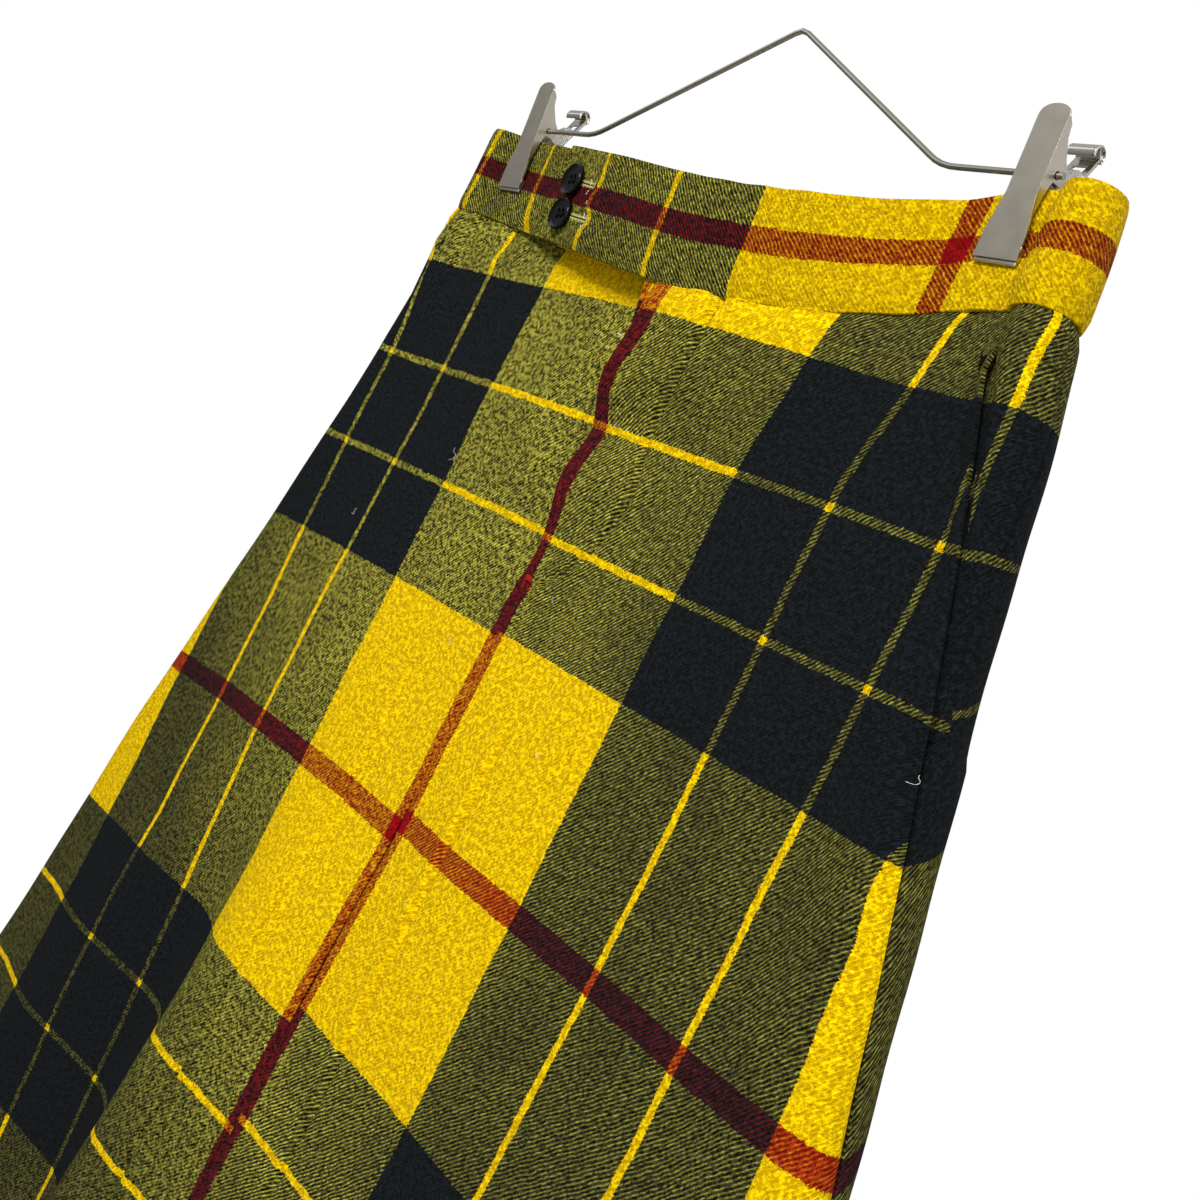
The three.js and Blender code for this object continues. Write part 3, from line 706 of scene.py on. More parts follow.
    # The nap: short fibres brushed up in tufts of 1 to 2 mm, with tangles of 3 mm, which hide the lines
    fine = add(tree, "TexNoise", {"Vector": millimetres, "Scale": 0.62, "Detail": 4.0, "Roughness": 0.7})
    coarse = add(tree, "TexNoise", {"Vector": pushed, "Scale": 0.34, "Detail": 2.0})
    tangled = add(tree, "Math", {0: coarse, 1: 0.45, 2: fine}, operation="MULTIPLY_ADD")
    tufts = add(tree, "MapRange", {0: tangled, 1: 0.65, 2: 0.79, 3: 0.0, 4: 1.0})
    broad = add(tree, "TexNoise", {"Vector": millimetres, "Scale": 0.03, "Detail": 3.0})
    patch = add(tree, "MapRange", {0: broad, 1: 0.35, 2: 0.65, 3: 0.8, 4: 1.15})
    whole = add(tree, "SeparateXYZ", {0: millimetres}, out="X")
    standing = add(tree, "MapRange", {0: whole, 1: worn_from, 2: worn_from + WEAR_FADE, 3: 1.0, 4: brushed})
    # Painted shade: toward the lower left, where the folds turn away from the light, less of the lighter yarn
    # shows, so the cloth is darker there
    body = add(tree, "TexCoord", out="Object")
    shade_darkest_at, shade_clear_at = PAINTED_SHADE_SPAN
    down = add(tree, "VectorMath", {0: body, 1: PAINTED_SHADE_TOWARD}, operation="DOT_PRODUCT", out="Value")
    wear_and_painted_shade = add(tree, "MapRange", {0: down, 1: shade_darkest_at, 2: shade_clear_at, 3: PAINTED_SHADE_COVER, 4: 1.0})
    # The nap is worn thinner toward the right side too
    begin, done = WORN_SPAN
    aside = add(tree, "MapRange", {0: whole, 1: begin, 2: done, 3: 1.0, 4: worn_side})
    # The painted shade and the wear are taken together from here on
    wear_and_painted_shade = add(tree, "Math", {0: wear_and_painted_shade, 1: aside}, operation="MULTIPLY")
    broken = add(tree, "MapRange", {0: floats, 1: 0.0, 2: 1.0, 3: 0.2, 4: 1.0})
    lined = line
    for factor in (broken, LINE_COVER):
        lined = add(tree, "Math", {0: lined, 1: factor}, operation="MULTIPLY")
    fuzzy = add(tree, "Math", {0: tufts, 1: 0.8, 2: lined}, operation="MULTIPLY_ADD")
    fuzzy = add(tree, "Math", {0: fuzzy, 1: NAP_COVER}, operation="MULTIPLY")
    cover = add(tree, "Mix", {0: standing, 2: lined, 3: fuzzy}, data_type="FLOAT")
    # Red yarn is brushed over the yellow as much as yellow over it, so less of the yellow shows there
    crossed = add(tree, "Math", {0: lows, 1: BLACK_BELOW}, operation="GREATER_THAN")
    under = add(tree, "Math", {0: crossed, 1: -0.32, 2: 1.0}, operation="MULTIPLY_ADD")
    # Less of the lighter yarn shows under the painted shade, where the nap is worn, where red crosses yellow,
    # and in random patches
    for factor in (wear_and_painted_shade, under, patch):
        cover = add(tree, "Math", {0: cover, 1: factor}, operation="MULTIPLY", use_clamp=True)
    woven = add(tree, "Mix", {0: cover, 6: darker, 7: lighter}, data_type="RGBA", out=2)
    # Light and shade in the nap: tips are pale, and the roots between the tufts are deeper
    tone = add(tree, "Math", {0: floats, 1: 0.5, 2: tufts}, operation="MULTIPLY_ADD")
    toned = add(tree, "Math", {0: line, 1: 0.3, 2: tone}, operation="MULTIPLY_ADD")
    share = add(tree, "Math", {0: toned, 1: 1.8}, operation="DIVIDE")
    shades = ((0.0, (0.52, 0.42, 0.3, 1.0)), (0.5, (0.98, 0.96, 0.9, 1.0)), (1.0, (1.42, 1.5, 1.9, 1.0)))
    shade = add(tree, "ValToRGB", {0: share}, ramp="LINEAR", stops=shades)
    shaded_cloth = add(tree, "Mix", {0: 1.0, 6: woven, 7: shade}, data_type="RGBA", blend_type="MULTIPLY", out=2)
    # Painted shade: the whole colour is scaled by depth, so a copy of the cloth with depth under 1 looks less
    # lit
    shaded_cloth = add(tree, "VectorMath", {0: shaded_cloth, "Scale": depth}, operation="SCALE")
    # Grey fibre ends that show on the black yarn only, fewer where the nap is worn and under the painted
    # shade of the lower left
    black_here = add(tree, "Math", {0: highs, 1: BLACK_BELOW}, operation="LESS_THAN")
    ends = add(tree, "MapRange", {0: fine, 1: 0.5, 2: 0.75, 3: 0.0, 4: 0.12})
    for factor in (black_here, wear_and_painted_shade):
        ends = add(tree, "Math", {0: ends, 1: factor}, operation="MULTIPLY")
    napped = add(tree, "Mix", {0: ends, 6: shaded_cloth, 7: linear("#5c6264")}, data_type="RGBA", out=2)
    connect(tree, shader, {
        "Base Color": napped, "Roughness": 0.97, "Specular IOR Level": 0.03, "Sheen Weight": 0.01,
        "Sheen Roughness": 0.45,
    })
    # Soft unevenness of the cloth, 12 mm across and about half a millimetre deep
    uneven = add(tree, "TexNoise", {"Vector": millimetres, "Scale": 0.08, "Detail": 1.5})
    height = add(tree, "Math", {0: line, 1: 0.5, 2: toned}, operation="MULTIPLY_ADD")
    height = add(tree, "Math", {0: uneven, 1: 3.2, 2: height}, operation="MULTIPLY_ADD")
    bump = add(tree, "Bump", {"Strength": 0.7, "Distance": 0.0005, "Height": height})
    connect(tree, shader, {"Normal": bump})
    return material


def plated_steel(name, code, rough, grain, uneven):
    """Steel with nickel plating: satin, with fine brushing along the piece."""
    material, tree, shader = new_material(name)
    place = add(tree, "TexCoord", out="Object")
    brushed = add(tree, "Mapping", {"Vector": place, "Scale": grain})
    lines = add(tree, "TexNoise", {"Vector": brushed, "Scale": 1.0, "Detail": 4.0, "Roughness": 0.7})
    cloudy = add(tree, "TexNoise", {"Vector": place, "Scale": 140.0, "Detail": 3.0})
    both = add(tree, "Math", {0: cloudy, 1: 0.6, 2: lines}, operation="MULTIPLY_ADD")
    matt = add(tree, "MapRange", {0: both, 1: 0.5, 2: 1.1, 3: rough - 0.06, 4: rough + 0.08})
    pale = linear(code)
    dull = tuple(c * (1 - uneven) for c in pale[:3]) + (1.0,)
    colour = add(tree, "Mix", {0: cloudy, 6: dull, 7: pale}, data_type="RGBA", out=2)
    connect(tree, shader, {"Base Color": colour, "Roughness": matt, "Metallic": 1.0})
    bump = add(tree, "Bump", {"Strength": uneven, "Distance": 0.00004, "Height": lines})
    connect(tree, shader, {"Normal": bump})
    return material


def moulded_plastic(name, grain, detail, dark, pale, glossy, dull, inputs):
    """Moulded or cast plastic whose surface is hazed unevenly, from glossy to dull."""
    material, tree, shader = new_material(name)
    place = add(tree, "TexCoord", out="Object")
    haze = add(tree, "TexNoise", {"Vector": place, "Scale": grain, "Detail": detail})
    colour = add(tree, "Mix", {0: haze, 6: linear(dark), 7: linear(pale)}, data_type="RGBA", out=2)
    rough = add(tree, "MapRange", {0: haze, 1: 0.3, 2: 0.7, 3: glossy, 4: dull})
    connect(tree, shader, {"Base Color": colour, "Roughness": rough, "IOR": 1.5, **inputs})
    return material


def sewing_thread(name, dark, pale):
    """Spun polyester sewing thread, two-ply: fine twist lines and a dry sheen."""
    material, tree, shader = new_material(name)
    place = add(tree, "TexCoord", out="Object")
    twist = add(
        tree, "TexWave",
        {"Vector": place, "Scale": 1400.0, "Distortion": 2.0}, bands_direction="DIAGONAL", out=1,
    )
    colour = add(tree, "Mix", {0: twist, 6: linear(dark), 7: linear(pale)}, data_type="RGBA", out=2)
    connect(tree, shader, {"Base Color": colour, "Roughness": 0.9, "Specular IOR Level": 0.1})
    return material


wool = checked_wool("brushed_wool_twill", 1, 0.3, 2.0, 0.48, 1.0)
# The waistband is the same cloth; its colour is scaled to 0.74, as painted shade, so it looks less lit than
# the body
band_wool = checked_wool("brushed_wool_twill_cross_cut", -1, 0.4, -205.0, 1.0, 0.74)
clip_steel = plated_steel("nickel_plated_steel_satin", "#c6c0b1", 0.34, (2600.0, 2600.0, 160.0), 0.12)
wire_steel = plated_steel("nickel_plated_wire_drawn", "#a6a399", 0.24, (60.0, 300.0, 300.0), 0.0)
grip_steel = plated_steel("nickel_plated_steel_bright", "#d4d2cb", 0.12, (2600.0, 2600.0, 160.0), 0.05)
# Cast polyester, tumbled and polished: deep black gloss with faint haze and fine scuffs
button_black = moulded_plastic(
    "polished_black_polyester", 900.0, 3.0, "#050506", "#0b0a0a", 0.04, 0.1, {"Specular IOR Level": 0.2},
)
# Clear moulded PVC, hazy from handling: light goes through it and scatters
pad_clear = moulded_plastic(
    "clear_moulded_pvc", 420.0, 4.0, "#c4c6c0", "#f1f2ee", 0.16, 0.42, {"Transmission Weight": 0.72},
)
black_thread = sewing_thread("black_spun_polyester_thread", "#08090a", "#15181a")
yellow_thread = sewing_thread("yellow_spun_polyester_thread", "#6d651a", "#d6cd86")
red_thread = sewing_thread("red_spun_polyester_thread", "#7c1512", "#c43a22")
white_fibre = sewing_thread("undyed_wool_lint", "#b9b7ae", "#f0efe8")


# Cloth

def weft_place(rows, z):
    heights, places = zip(*rows)
    return np.interp(z, heights, places)


def fabric_right(along, drop, z):
    wander = 2.4 * float(hump(drop, 124, 12)) - 1.6 * float(hump(drop, 96, 16))
    near = 1 - ease(8, 60, along)
    drawn = right_shift(drop) * (1 - 0.33 * ease(150, 180, along))
    drawn = drawn - at_drop(SIDE_DRAW, drop) * ease(195, 226, along)
    return np.stack([along - drawn - wander * near, weft_place(WEFT_RIGHT, z)], axis=-1) * MM


def fabric_left(along, drop, z):
    droop = 9 * (along / 250) ** 2 * float(ease(150, 320, drop))
    round_the_side = 9 * (1 - float(ease(60, 120, drop))) * ease(-160, -195, along)
    return np.stack([along + round_the_side, weft_place(WEFT_LEFT, z) + droop], axis=-1) * MM


def fabric_back(along, drop, z):
    heights = BACK_GRAIN["z"]
    from_right = along - seam_right(drop)
    from_left = total_at(drop) - seam_left(drop) - along
    start = np.interp(z, heights, BACK_GRAIN["start"])
    rise = np.tan(np.radians(np.interp(z, heights, BACK_GRAIN["rise"]))) * BACK_GRAIN_REACH
    right = weft_place(WEFT_RIGHT, z) - rise * (1 - np.exp(-from_right / BACK_GRAIN_REACH))
    left = weft_place(WEFT_LEFT, z) - rise * (1 - np.exp(-from_left / BACK_GRAIN_REACH))
    share = ease(0.35, 0.65, from_right / (from_right + from_left))
    return np.stack([start + from_right, right * (1 - share) + left * share], axis=-1) * MM


def fabric_band(along, drop, z):
    total = total_at(drop)
    pulled = at_drop(BUTTONHOLE_PULL, drop) * hump(along, -58, 13)
    right_part = np.maximum(along - BAND_RED_ALONG + pulled, -CHECK_HALF - 75)
    slant = at_drop(BAND_SLANT, drop) * hump(along - total, -112, 26)
    left_part = along - total + BAND_LEFT_PHASE - slant
    across = np.where(along < total / 2, right_part, left_part)
    return np.stack([across, np.full_like(across, BAND_RED_DROP - drop)], axis=-1) * MM


half_gap = SEAM_GAP / 2
body_top = BAND_HEIGHT + WAIST_GAP
# Rows of the sheets: closer down to this drop, where the sewing is, and wider below it
CLOSE_TO = 260
body_drops = np.concatenate([
    [BAND_HEIGHT - 9, BAND_HEIGHT - 4, BODY_TOP],
    np.arange(BAND_HEIGHT + 1.5, CLOSE_TO, 3.1),
    np.linspace(CLOSE_TO, SKIRT_LENGTH - 4, 152),
    [SKIRT_LENGTH - 1.6, SKIRT_LENGTH],
])


def front_right_corners(drop):
    shift = right_shift(drop)
    return fly_edge(drop), 28 + shift, 50 + shift, seam_right(drop) - half_gap


front_right = sheet_grid(
    "front_right_cloth", body_drops, front_right_corners, (14, 22, 66),
    relief_right, fabric_right, CLOTH_WALL, body_row, "right",
)
front_left = sheet_grid(
    "front_left_cloth", body_drops, lambda drop: (-seam_left(drop) + half_gap, -58, -40, -half_gap),
    (70, 18, 18), relief_left, fabric_left, CLOTH_WALL, body_row, "left",
)
back_drops = np.concatenate([
    [BODY_TOP],
    np.arange(BAND_HEIGHT + 1.5, CLOSE_TO, 4.0),
    np.linspace(CLOSE_TO, SKIRT_LENGTH, 110),
])


def back_corners(drop):
    first = seam_right(drop) + half_gap
    last = total_at(drop) - seam_left(drop) - half_gap
    return first, first + 45, last - 45, last


back = sheet_grid(
    "back_cloth", back_drops, back_corners, (36, 90, 36), relief_back, fabric_back, CLOTH_WALL,
)
band_drops = np.array([0, 0.7, 2, 5, 9, 13, 17, 21, 25, 29, 33, 37, 41, 44, 45.3, 46])
band = sheet_grid(
    "waistband_cloth", band_drops, lambda drop: (TAB_END, total_at(drop) + UNDERLAP_END), (320,),
    relief_band, fabric_band, BAND_WALL,
)
underlap = sheet_grid(
    "fly_underlap_cloth", np.linspace(body_top, FLY_UNDERLAP_END, 36),
    lambda drop: (half_gap, FLY_WIDTH), (8,), lambda along, drop: np.full_like(along, -LAP),
    fabric_left, CLOTH_WALL, side="right",
)
for sheet, material, node in (
    (front_right, wool, "front_right_panel"), (front_left, wool, "front_left_panel"),
    (back, wool, "back_panel"), (band, band_wool, "waistband"), (underlap, wool, "fly_underlap"),
):
    finish_piece(sheet, material, "checked_wool", node)

for side, seam in (("right", seam_right), ("left", lambda drop: total_at(drop) - seam_left(drop))):
    facing = sheet_grid(
        f"pocket_facing_{side}_cloth", np.linspace(POCKET["top"], POCKET["bottom"], 34),
        lambda drop: (seam(drop) - POCKET["reach"], seam(drop) + POCKET["reach"]), (8,),
        lambda along, drop: np.full_like(along, -CLOTH_WALL - POCKET["clearance"]),
        fabric_right, POCKET["wall"],
    )
    finish_piece(facing, wool, "checked_wool", f"pocket_facing_{side}")


# Hanger

def copied(node, name, change=None):
    """A copy of a CAD node's own shape, for a finer finish: its mesh merged and its flat faces joined."""
    bm = bmesh.new()
    bm.from_mesh(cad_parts[node].data)
    bmesh.ops.remove_doubles(bm, verts=bm.verts, dist=1e-6)
    bmesh.ops.dissolve_limit(bm, angle_limit=math.radians(1.5), verts=bm.verts, edges=bm.edges)
    if change:
        change(bm)
    return new_piece(name, bm)


LIP_BOTTOM = CLIP_LINE - 33.5


def open_lip(bm):
    """Opens the folded lip from below, so that the plate and its return show as two layers."""
    under = [
        face for face in bm.faces
        if face.normal.z < -0.9 and face.calc_center_median().z < (LIP_BOTTOM + 0.6) * MM
    ]
    bmesh.ops.inset_region(bm, faces=under, thickness=0.85 * MM, use_even_offset=True)
    verts = list({vert for face in under for vert in face.verts})
    bmesh.ops.translate(bm, verts=verts, vec=(0, 0, 2.6 * MM))


def strip_along(name, section, half_width, wall, place):
    """A bent strip: a grid whose rows lie on a section in y and z, as wide as half_width says."""
    bm = bmesh.new()
    rows = len(section) - 1
    bmesh.ops.create_grid(bm, x_segments=12, y_segments=rows, size=0.5)
    for vert in bm.verts:
        share = vert.co.x * 2
        index = round((vert.co.y + 0.5) * rows)
        y, z = section[index]
        x = share * half_width(index / rows)
        vert.co = Vector((place[0] + x, place[1] + y, place[2] + z)) * MM
    return give_wall(new_piece(name, bm, True), wall, offset=0, edge=wall * 0.35, angle=50)


# The rear grip is rolled forward over the hook: its centre and radius behind and above the axle
GRIP = {"y": 15.7, "z": 17.3, "radius": 3.1, "half_width": 6.2, "wall": 0.9}


def rolled_grip(name, place):
    angles = [math.radians(-38 + 15 * step) for step in range(18)]
    section = [
        (GRIP["y"] + GRIP["radius"] * math.cos(angle), GRIP["z"] + GRIP["radius"] * math.sin(angle))
        for angle in angles
    ]
    return strip_along(name, section, lambda share: GRIP["half_width"], GRIP["wall"], place)


# The clear pad flares back behind the waistband's top edge, and its top is rounded
FLARE = {"face": 8.0, "from": -5.2, "to": 9.4, "slope": 0.357, "half_width": 9.4, "wall": 1.5}


# The folded lip's second layer, which shows below the plate: its width, depth and height
LIP_RETURN = {"width": 18.4, "depth": 1.1, "height": 3.2, "back": -1.25, "below": 1.5}


def lip_return(name, place):
    bm = bmesh.new()
    size = Matrix.Diagonal((LIP_RETURN["width"] * MM, LIP_RETURN["depth"] * MM, LIP_RETURN["height"] * MM, 1))
    z = LIP_BOTTOM - LIP_RETURN["below"] + LIP_RETURN["height"] / 2
    middle = Matrix.Translation(Vector((place[0], LIP_RETURN["back"], z)) * MM)
    bmesh.ops.create_cube(bm, size=1, matrix=middle @ size)
    bmesh.ops.bevel(
        bm, geom=bm.edges[:], offset=0.4 * MM, segments=3, profile=0.5, affect="EDGES", material=-1,
    )
    return new_piece(name, bm, True)


def pad_flare(name, place):
    heights = np.linspace(FLARE["from"], FLARE["to"], 14)
    section = [(FLARE["face"] + FLARE["slope"] * (z - FLARE["from"]), z) for z in heights]

    def half_width(share):
        return FLARE["half_width"] * math.sqrt(max(0.0, 1 - max(0.0, share - 0.25) ** 2 / 0.64))

    return strip_along(name, section, half_width, FLARE["wall"], place)


def rounded(piece, width, angle=30):
    """Rounds a hard piece's edges and keeps its flats flat in the shading."""
    round_edges(piece, width, angle)
    for face in piece.data.polygons:
        face.use_smooth = True
    weight = piece.modifiers.new("even shading", "WEIGHTED_NORMAL")
    weight.keep_sharp = True
    return piece


for side in ("left", "right"):
    for part in ("front_jaw", "rear_jaw"):
        node = f"clip_{side}_{part}"
        if part == "front_jaw":
            plated = rounded(copied(node, f"{node}_plated", open_lip), 0.34)
            finish_piece(plated, clip_steel, "nickel_steel", node)
        else:
            finish_piece(rounded(copied(node, f"{node}_plated"), 0.2), grip_steel, "nickel_steel", node)
    node = f"clip_{side}_pad"
    finish_piece(rounded(copied(node, f"{node}_moulded"), 0.3), pad_clear, "clear_plastic", node)
    place = (CLIP_X if side == "right" else -CLIP_X, 0, CLIP_LINE)
    finish_piece(rolled_grip(f"clip_{side}_rolled_grip", place), grip_steel, "nickel_steel")
    finish_piece(pad_flare(f"clip_{side}_pad_flare", place), pad_clear, "clear_plastic")
    finish_piece(lip_return(f"clip_{side}_lip_return", place), clip_steel, "nickel_steel")

bpy.data.objects["hanger_wire"].data.materials.clear()
bpy.data.objects["hanger_wire"].data.materials.append(wire_steel)

for name in ("button_upper", "button_lower"):
    finish_piece(rounded(copied(name, f"{name}_polished"), 0.2, 50), button_black, "button_plastic", name)


# Sewing

SURFACES = {
    "right": (relief_right, "right"), "left": (relief_left, "left"),
    "back": (relief_back, None), "band": (relief_band, None),
}


def above(cloth, along, drop, lift):
    """A point just above one of the cloths, in metres."""
    relief, side = SURFACES[cloth]
    places = np.array([along], float)
    return Vector(cloth_row(drop, places, relief(places, drop) + lift, side)[0])


def thread_piece(name, runs, material):
    """Stitches that show as short raised lengths of thread: each from one point to another."""
    bm = bmesh.new()
    for start, end, radius in runs:
        middle = (start + end) / 2
        direction = end - start
        turn = direction.to_track_quat("Z", "Y").to_matrix().to_4x4()
        size = Matrix.Diagonal((radius * MM, radius * MM, direction.length / 2 + radius * MM * 0.5, 1))
        bmesh.ops.create_uvsphere(
            bm, u_segments=7, v_segments=6, radius=1, matrix=Matrix.Translation(middle) @ turn @ size,
        )
    return finish_piece(new_piece(name, bm, True), material, "checked_wool")


STITCH = {"length": 2.3, "pitch": 3.0, "lift": 0.1, "radius": 0.26}


def seam_stitches(cloth, line, start, end):
    """Stitches one after another down a cloth: line gives the place along it for a drop."""
    runs = []
    for i in range(int((end - start) / STITCH["pitch"])):
        top = start + i * STITCH["pitch"]
        ends = [above(cloth, line(drop), drop, STITCH["lift"]) for drop in (top, top + STITCH["length"])]
        runs.append((*ends, STITCH["radius"]))
    return runs


def bar_tack(place, count, pitch, radius):
    """A bar tack: close zigzag stitches across a line; place gives a point for a step and an end."""
    return [(place(i * pitch, -1), place((i + 0.5) * pitch, 1), radius) for i in range(count)]


FLY_SEWN = (49, 201)
POCKET_SEWN = (62, 192)
POCKET_TACKS = {"drops": (64, 188), "inset": 4.5, "half": 3.6, "lift": 0.25}
black_runs = seam_stitches("right", fly_stitch, *FLY_SEWN)
black_runs += seam_stitches("right", lambda drop: seam_right(drop) - STITCH_INSET, *POCKET_SEWN)
black_runs += seam_stitches("left", lambda drop: -seam_left(drop) + STITCH_INSET, *POCKET_SEWN)
for drop in POCKET_TACKS["drops"]:
    right_tack = seam_right(drop) - POCKET_TACKS["inset"]
    left_tack = -seam_left(drop) + POCKET_TACKS["inset"]
    for cloth, middle in (("right", right_tack), ("left", left_tack)):
        black_runs += bar_tack(
            lambda step, end: above(
                cloth, middle + POCKET_TACKS["half"] * end, drop + step, POCKET_TACKS["lift"]
            ), 7, 0.55, 0.3,
        )
thread_piece("topstitching", black_runs, black_thread)
fly_tack = bar_tack(
    lambda step, end: above("right", fly_edge(FLY_END) + 3 + 2.6 * end, 200 + step, 0.3), 10, 0.6, 0.32,
)
thread_piece("fly_bar_tack", fly_tack, red_thread)

# Buttonholes in the tab: each from its left end to its right, at a drop below the top edge
BUTTONHOLES = ((-76, -61.5, 16.4), (-73, -54.5, 32.2))
EDGE_PITCH = 0.62
cut_runs = []
edge_runs = []
for left_end, right_end, drop in BUTTONHOLES:
    cut_runs.append((above("band", left_end, drop, 0.12), above("band", right_end, drop, 0.12), 0.34))
    count = int((right_end - left_end) / EDGE_PITCH)
    for i in range(count + 1):
        at = left_end + i * EDGE_PITCH
        uneven = 0.35 * math.sin(i * 2.3) + 0.2 * math.sin(i * 5.1)
        for way in (-1, 1):
            near = above("band", at, drop + way * 0.35, 0.22)
            far = above("band", at + 0.12 * way, drop + way * (1.35 + uneven), 0.12)
            edge_runs.append((near, far, 0.22))
    for i in range(4):
        reach = 0.5 * i - 0.8
        start = above("band", right_end + 0.5 + 0.3 * i, drop + reach - 0.9, 0.25)
        end = above("band", right_end + 1.6 - 0.2 * i, drop + reach + 0.9, 0.3)
        edge_runs.append((start, end, 0.24))
thread_piece("buttonhole_cuts", cut_runs, black_thread)
thread_piece("buttonhole_stitches", edge_runs, yellow_thread)

# Black thread through each button's holes
HOLE_HALF = 1.6
button_runs = []
for name in ("button_upper", "button_lower"):
    points = np.array([vert.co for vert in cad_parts[name].data.vertices])
    centre = (points.max(axis=0) + points.min(axis=0)) / 2
    normal = Vector(np.linalg.svd(points - points.mean(axis=0))[2][2])
    if normal.y > 0:
        normal = -normal
    across = Vector((0, 0, 1)).cross(normal).normalized()
    up = normal.cross(across)
    front_face = max((Vector(point) - Vector(centre)).dot(normal) for point in points)
    for shift in (-1, 1):
        start = Vector(centre) + normal * (front_face - 0.55 * MM) + (across * shift - up) * HOLE_HALF * MM
        end = start + up * 2 * HOLE_HALF * MM
        button_runs.append((start, end, 0.34))
thread_piece("button_thread", button_runs, black_thread)

# Loose fibres and ends: which cloth, where they start, which way they run in degrees, how long and how thick
LOOSE_FIBRES = (
    ("right", 1, 74, 40, 2.2, 0.26), ("left", -93, 162, 80, 7.0, 0.1), ("left", -88, 165, 150, 4.0, 0.08),
    ("back", 266, 146, 20, 3.0, 0.16), ("back", 264, 158, 60, 1.6, 0.22), ("back", 271, 187, 15, 2.6, 0.16),
    ("right", 222, 199, 92, 4.6, 0.1), ("right", 24, 203, 110, 2.4, 0.12), ("right", 12, 118, 100, 2.2, 0.14),
    ("left", -30, 240, 70, 3.0, 0.1), ("right", 60, 260, 30, 3.2, 0.09), ("left", -150, 210, 130, 4.4, 0.1),
    ("band", -66, 14.2, 20, 3.0, 0.2), ("band", -63, 19.4, 160, 2.2, 0.16), ("band", -58, 29.6, 30, 3.4, 0.2),
    ("band", -57, 35.0, 10, 2.8, 0.18), ("band", -61, 23.6, 70, 1.6, 0.12),
)
FIBRE_LINKS = 7
fibre_runs = []
for cloth, along, drop, angle, length, radius in LOOSE_FIBRES:
    points = []
    for i in range(FIBRE_LINKS + 1):
        bend = math.radians(angle + 34 * math.sin(i * 0.8 + along))
        step = length / FIBRE_LINKS * i
        points.append(above(cloth, along + step * math.cos(bend), drop + step * math.sin(bend), 0.35))
    fibre_runs += [(start, end, radius) for start, end in zip(points, points[1:])]
thread_piece("loose_fibres", fibre_runs, white_fibre)


# What each sheet was cut to, laid flat
def cut_area(start, end, drops):
    widths = np.array([end(drop) - start(drop) for drop in drops])
    return float(np.sum((widths[1:] + widths[:-1]) / 2 * np.diff(drops))) * MM * MM


right_area = cut_area(fly_edge, seam_right, body_drops)
left_area = cut_area(lambda drop: -seam_left(drop), lambda drop: 0, body_drops)
back_area = cut_area(seam_right, lambda drop: total_at(drop) - seam_left(drop), back_drops)
band_length = (total_at(0) + UNDERLAP_END - TAB_END) * MM
back_hem = (total_at(SKIRT_LENGTH) - seam_left(SKIRT_LENGTH) - seam_right(SKIRT_LENGTH)) * MM


# Studio

CAMERA_PLACE = Vector((0.4916, -0.3752, -0.2561))
CAMERA_TURN = math.radians(49.6)
CAMERA_ROLL = math.radians(27)
forward = Vector((-math.sin(CAMERA_TURN), math.cos(CAMERA_TURN), 0))
level_right = Vector((math.cos(CAMERA_TURN), math.sin(CAMERA_TURN), 0))
upward = Vector((0, 0, 1))
image_right = level_right * math.cos(CAMERA_ROLL) + upward * math.sin(CAMERA_ROLL)
image_up = upward * math.cos(CAMERA_ROLL) - level_right * math.sin(CAMERA_ROLL)

# The focal length and the width of the photograph, in its own pixels
FOCAL_PIXELS = 1450
PHOTO_WIDTH = 1200
lens = bpy.data.cameras.new("camera")
lens.sensor_width = 36
lens.lens = lens.sensor_width * FOCAL_PIXELS / PHOTO_WIDTH
lens.clip_start = 0.01
camera = bpy.data.objects.new("camera", lens)
bpy.context.scene.collection.objects.link(camera)
axes = Matrix((image_right, image_up, -forward)).transposed().to_4x4()
camera.matrix_world = Matrix.Translation(CAMERA_PLACE) @ axes
bpy.context.scene.camera = camera


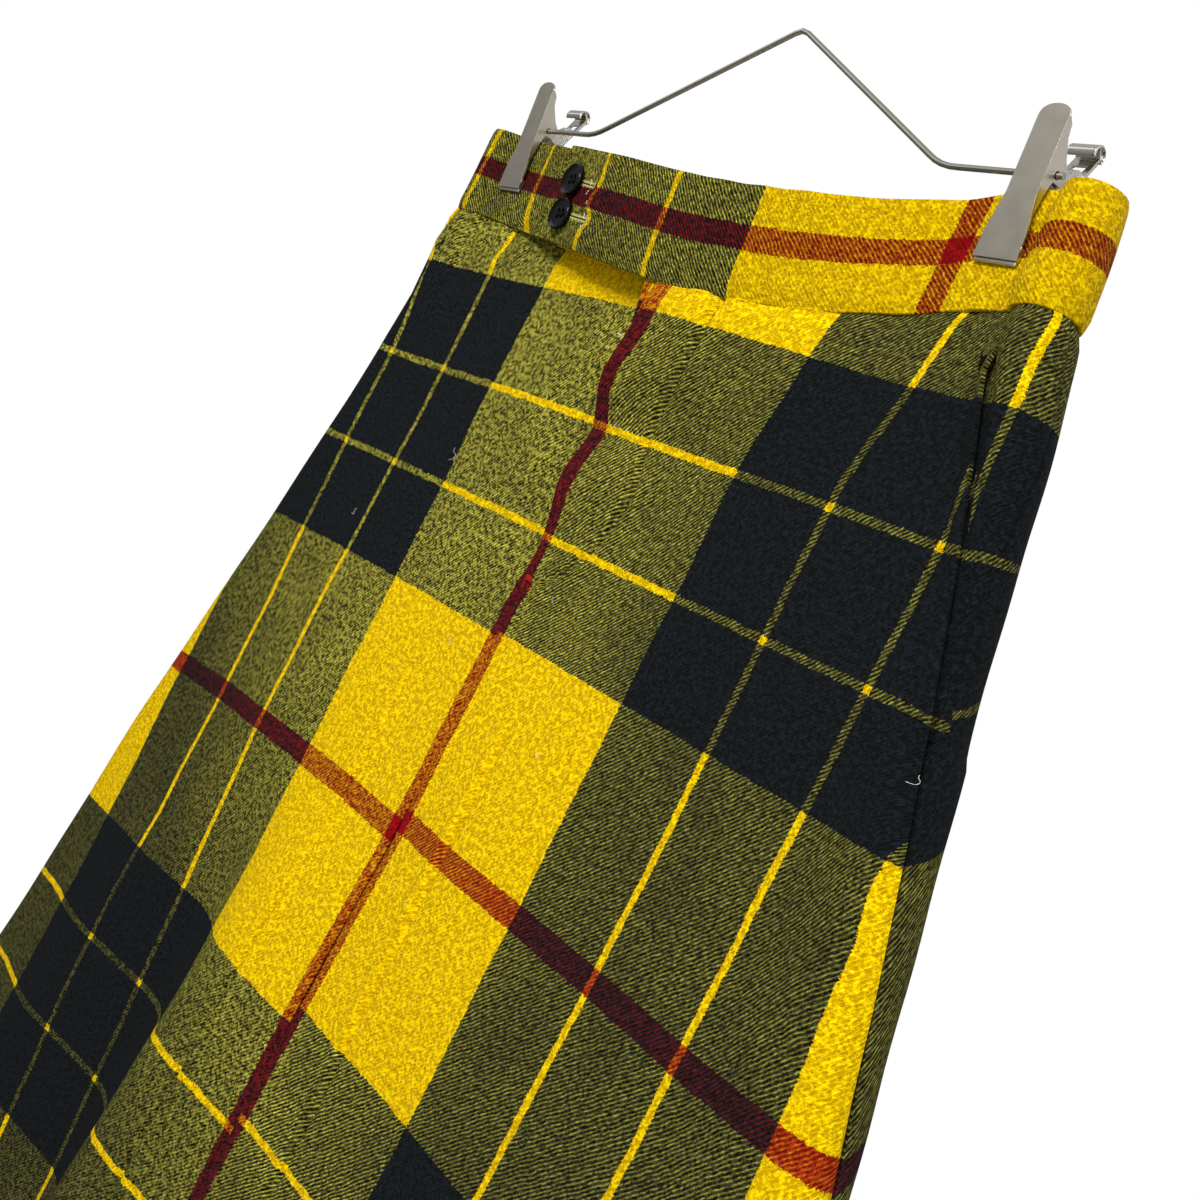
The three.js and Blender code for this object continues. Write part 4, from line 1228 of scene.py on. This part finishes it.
def softbox(name, place, target, size, power, colour):
    lamp = bpy.data.lights.new(name, "AREA")
    lamp.shape = "SQUARE"
    lamp.size = size
    lamp.energy = power
    lamp.color = colour
    box = bpy.data.objects.new(name, lamp)
    bpy.context.scene.collection.objects.link(box)
    turn = (Vector(target) - Vector(place)).to_track_quat("-Z", "Y").to_matrix().to_4x4()
    box.matrix_world = Matrix.Translation(Vector(place)) @ turn


softbox("key", (0.4, -1.13, 0.5), (0, 0, -0.2), 0.4, 16.8, (1.0, 0.985, 0.96))
softbox("fill", (1.6, -1.2, 0.1), (0, 0, -0.3), 1.4, 8, (0.97, 0.985, 1.0))
softbox("left card", (-1.2, -0.9, 0.75), (-0.1, 0, -0.1), 0.8, 1.7, (1.0, 1.0, 0.98))
softbox("back", (0.2, 1.8, 0.9), (0, 0, -0.4), 1.2, 18, (1.0, 1.0, 1.0))

world = bpy.data.worlds.new("studio")
bpy.context.scene.world = world
world.use_nodes = True
sky = world.node_tree
background = sky.nodes["Background"]
seen = add(sky, "LightPath", out="Is Camera Ray")
toward = add(sky, "TexCoord", out="Generated")
rise = add(sky, "VectorMath", {0: toward, 1: (0.6, 0.0, 0.8)}, operation="DOT_PRODUCT", out="Value")
glow = add(sky, "MapRange", {0: rise, 1: -0.8, 2: 0.8, 3: 0.17, 4: 0.66})
strength = add(sky, "Mix", {0: seen, 2: glow, 3: 1.0}, data_type="FLOAT")
connect(sky, background, {"Strength": strength, "Color": (1.0, 1.0, 1.0, 1.0)})

FLOOR = {"radius": 0.72, "z": -1.10}
bm = bmesh.new()
bmesh.ops.create_circle(bm, cap_ends=True, radius=FLOOR["radius"], segments=96)
bmesh.ops.translate(bm, verts=bm.verts, vec=(0, 0, FLOOR["z"]))
floor = new_piece("floor", bm)
pale, tree, shader = new_material("pale_painted_floor")
speck = add(tree, "TexNoise", {"Scale": 60.0, "Detail": 3.0})
paint = add(tree, "Mix", {0: speck, 6: linear("#e4e4e1"), 7: linear("#ecebe8")}, data_type="RGBA", out=2)
connect(tree, shader, {"Base Color": paint, "Roughness": 0.85})
floor.data.materials.append(pale)

bpy.context.scene.view_settings.view_transform = "Standard"
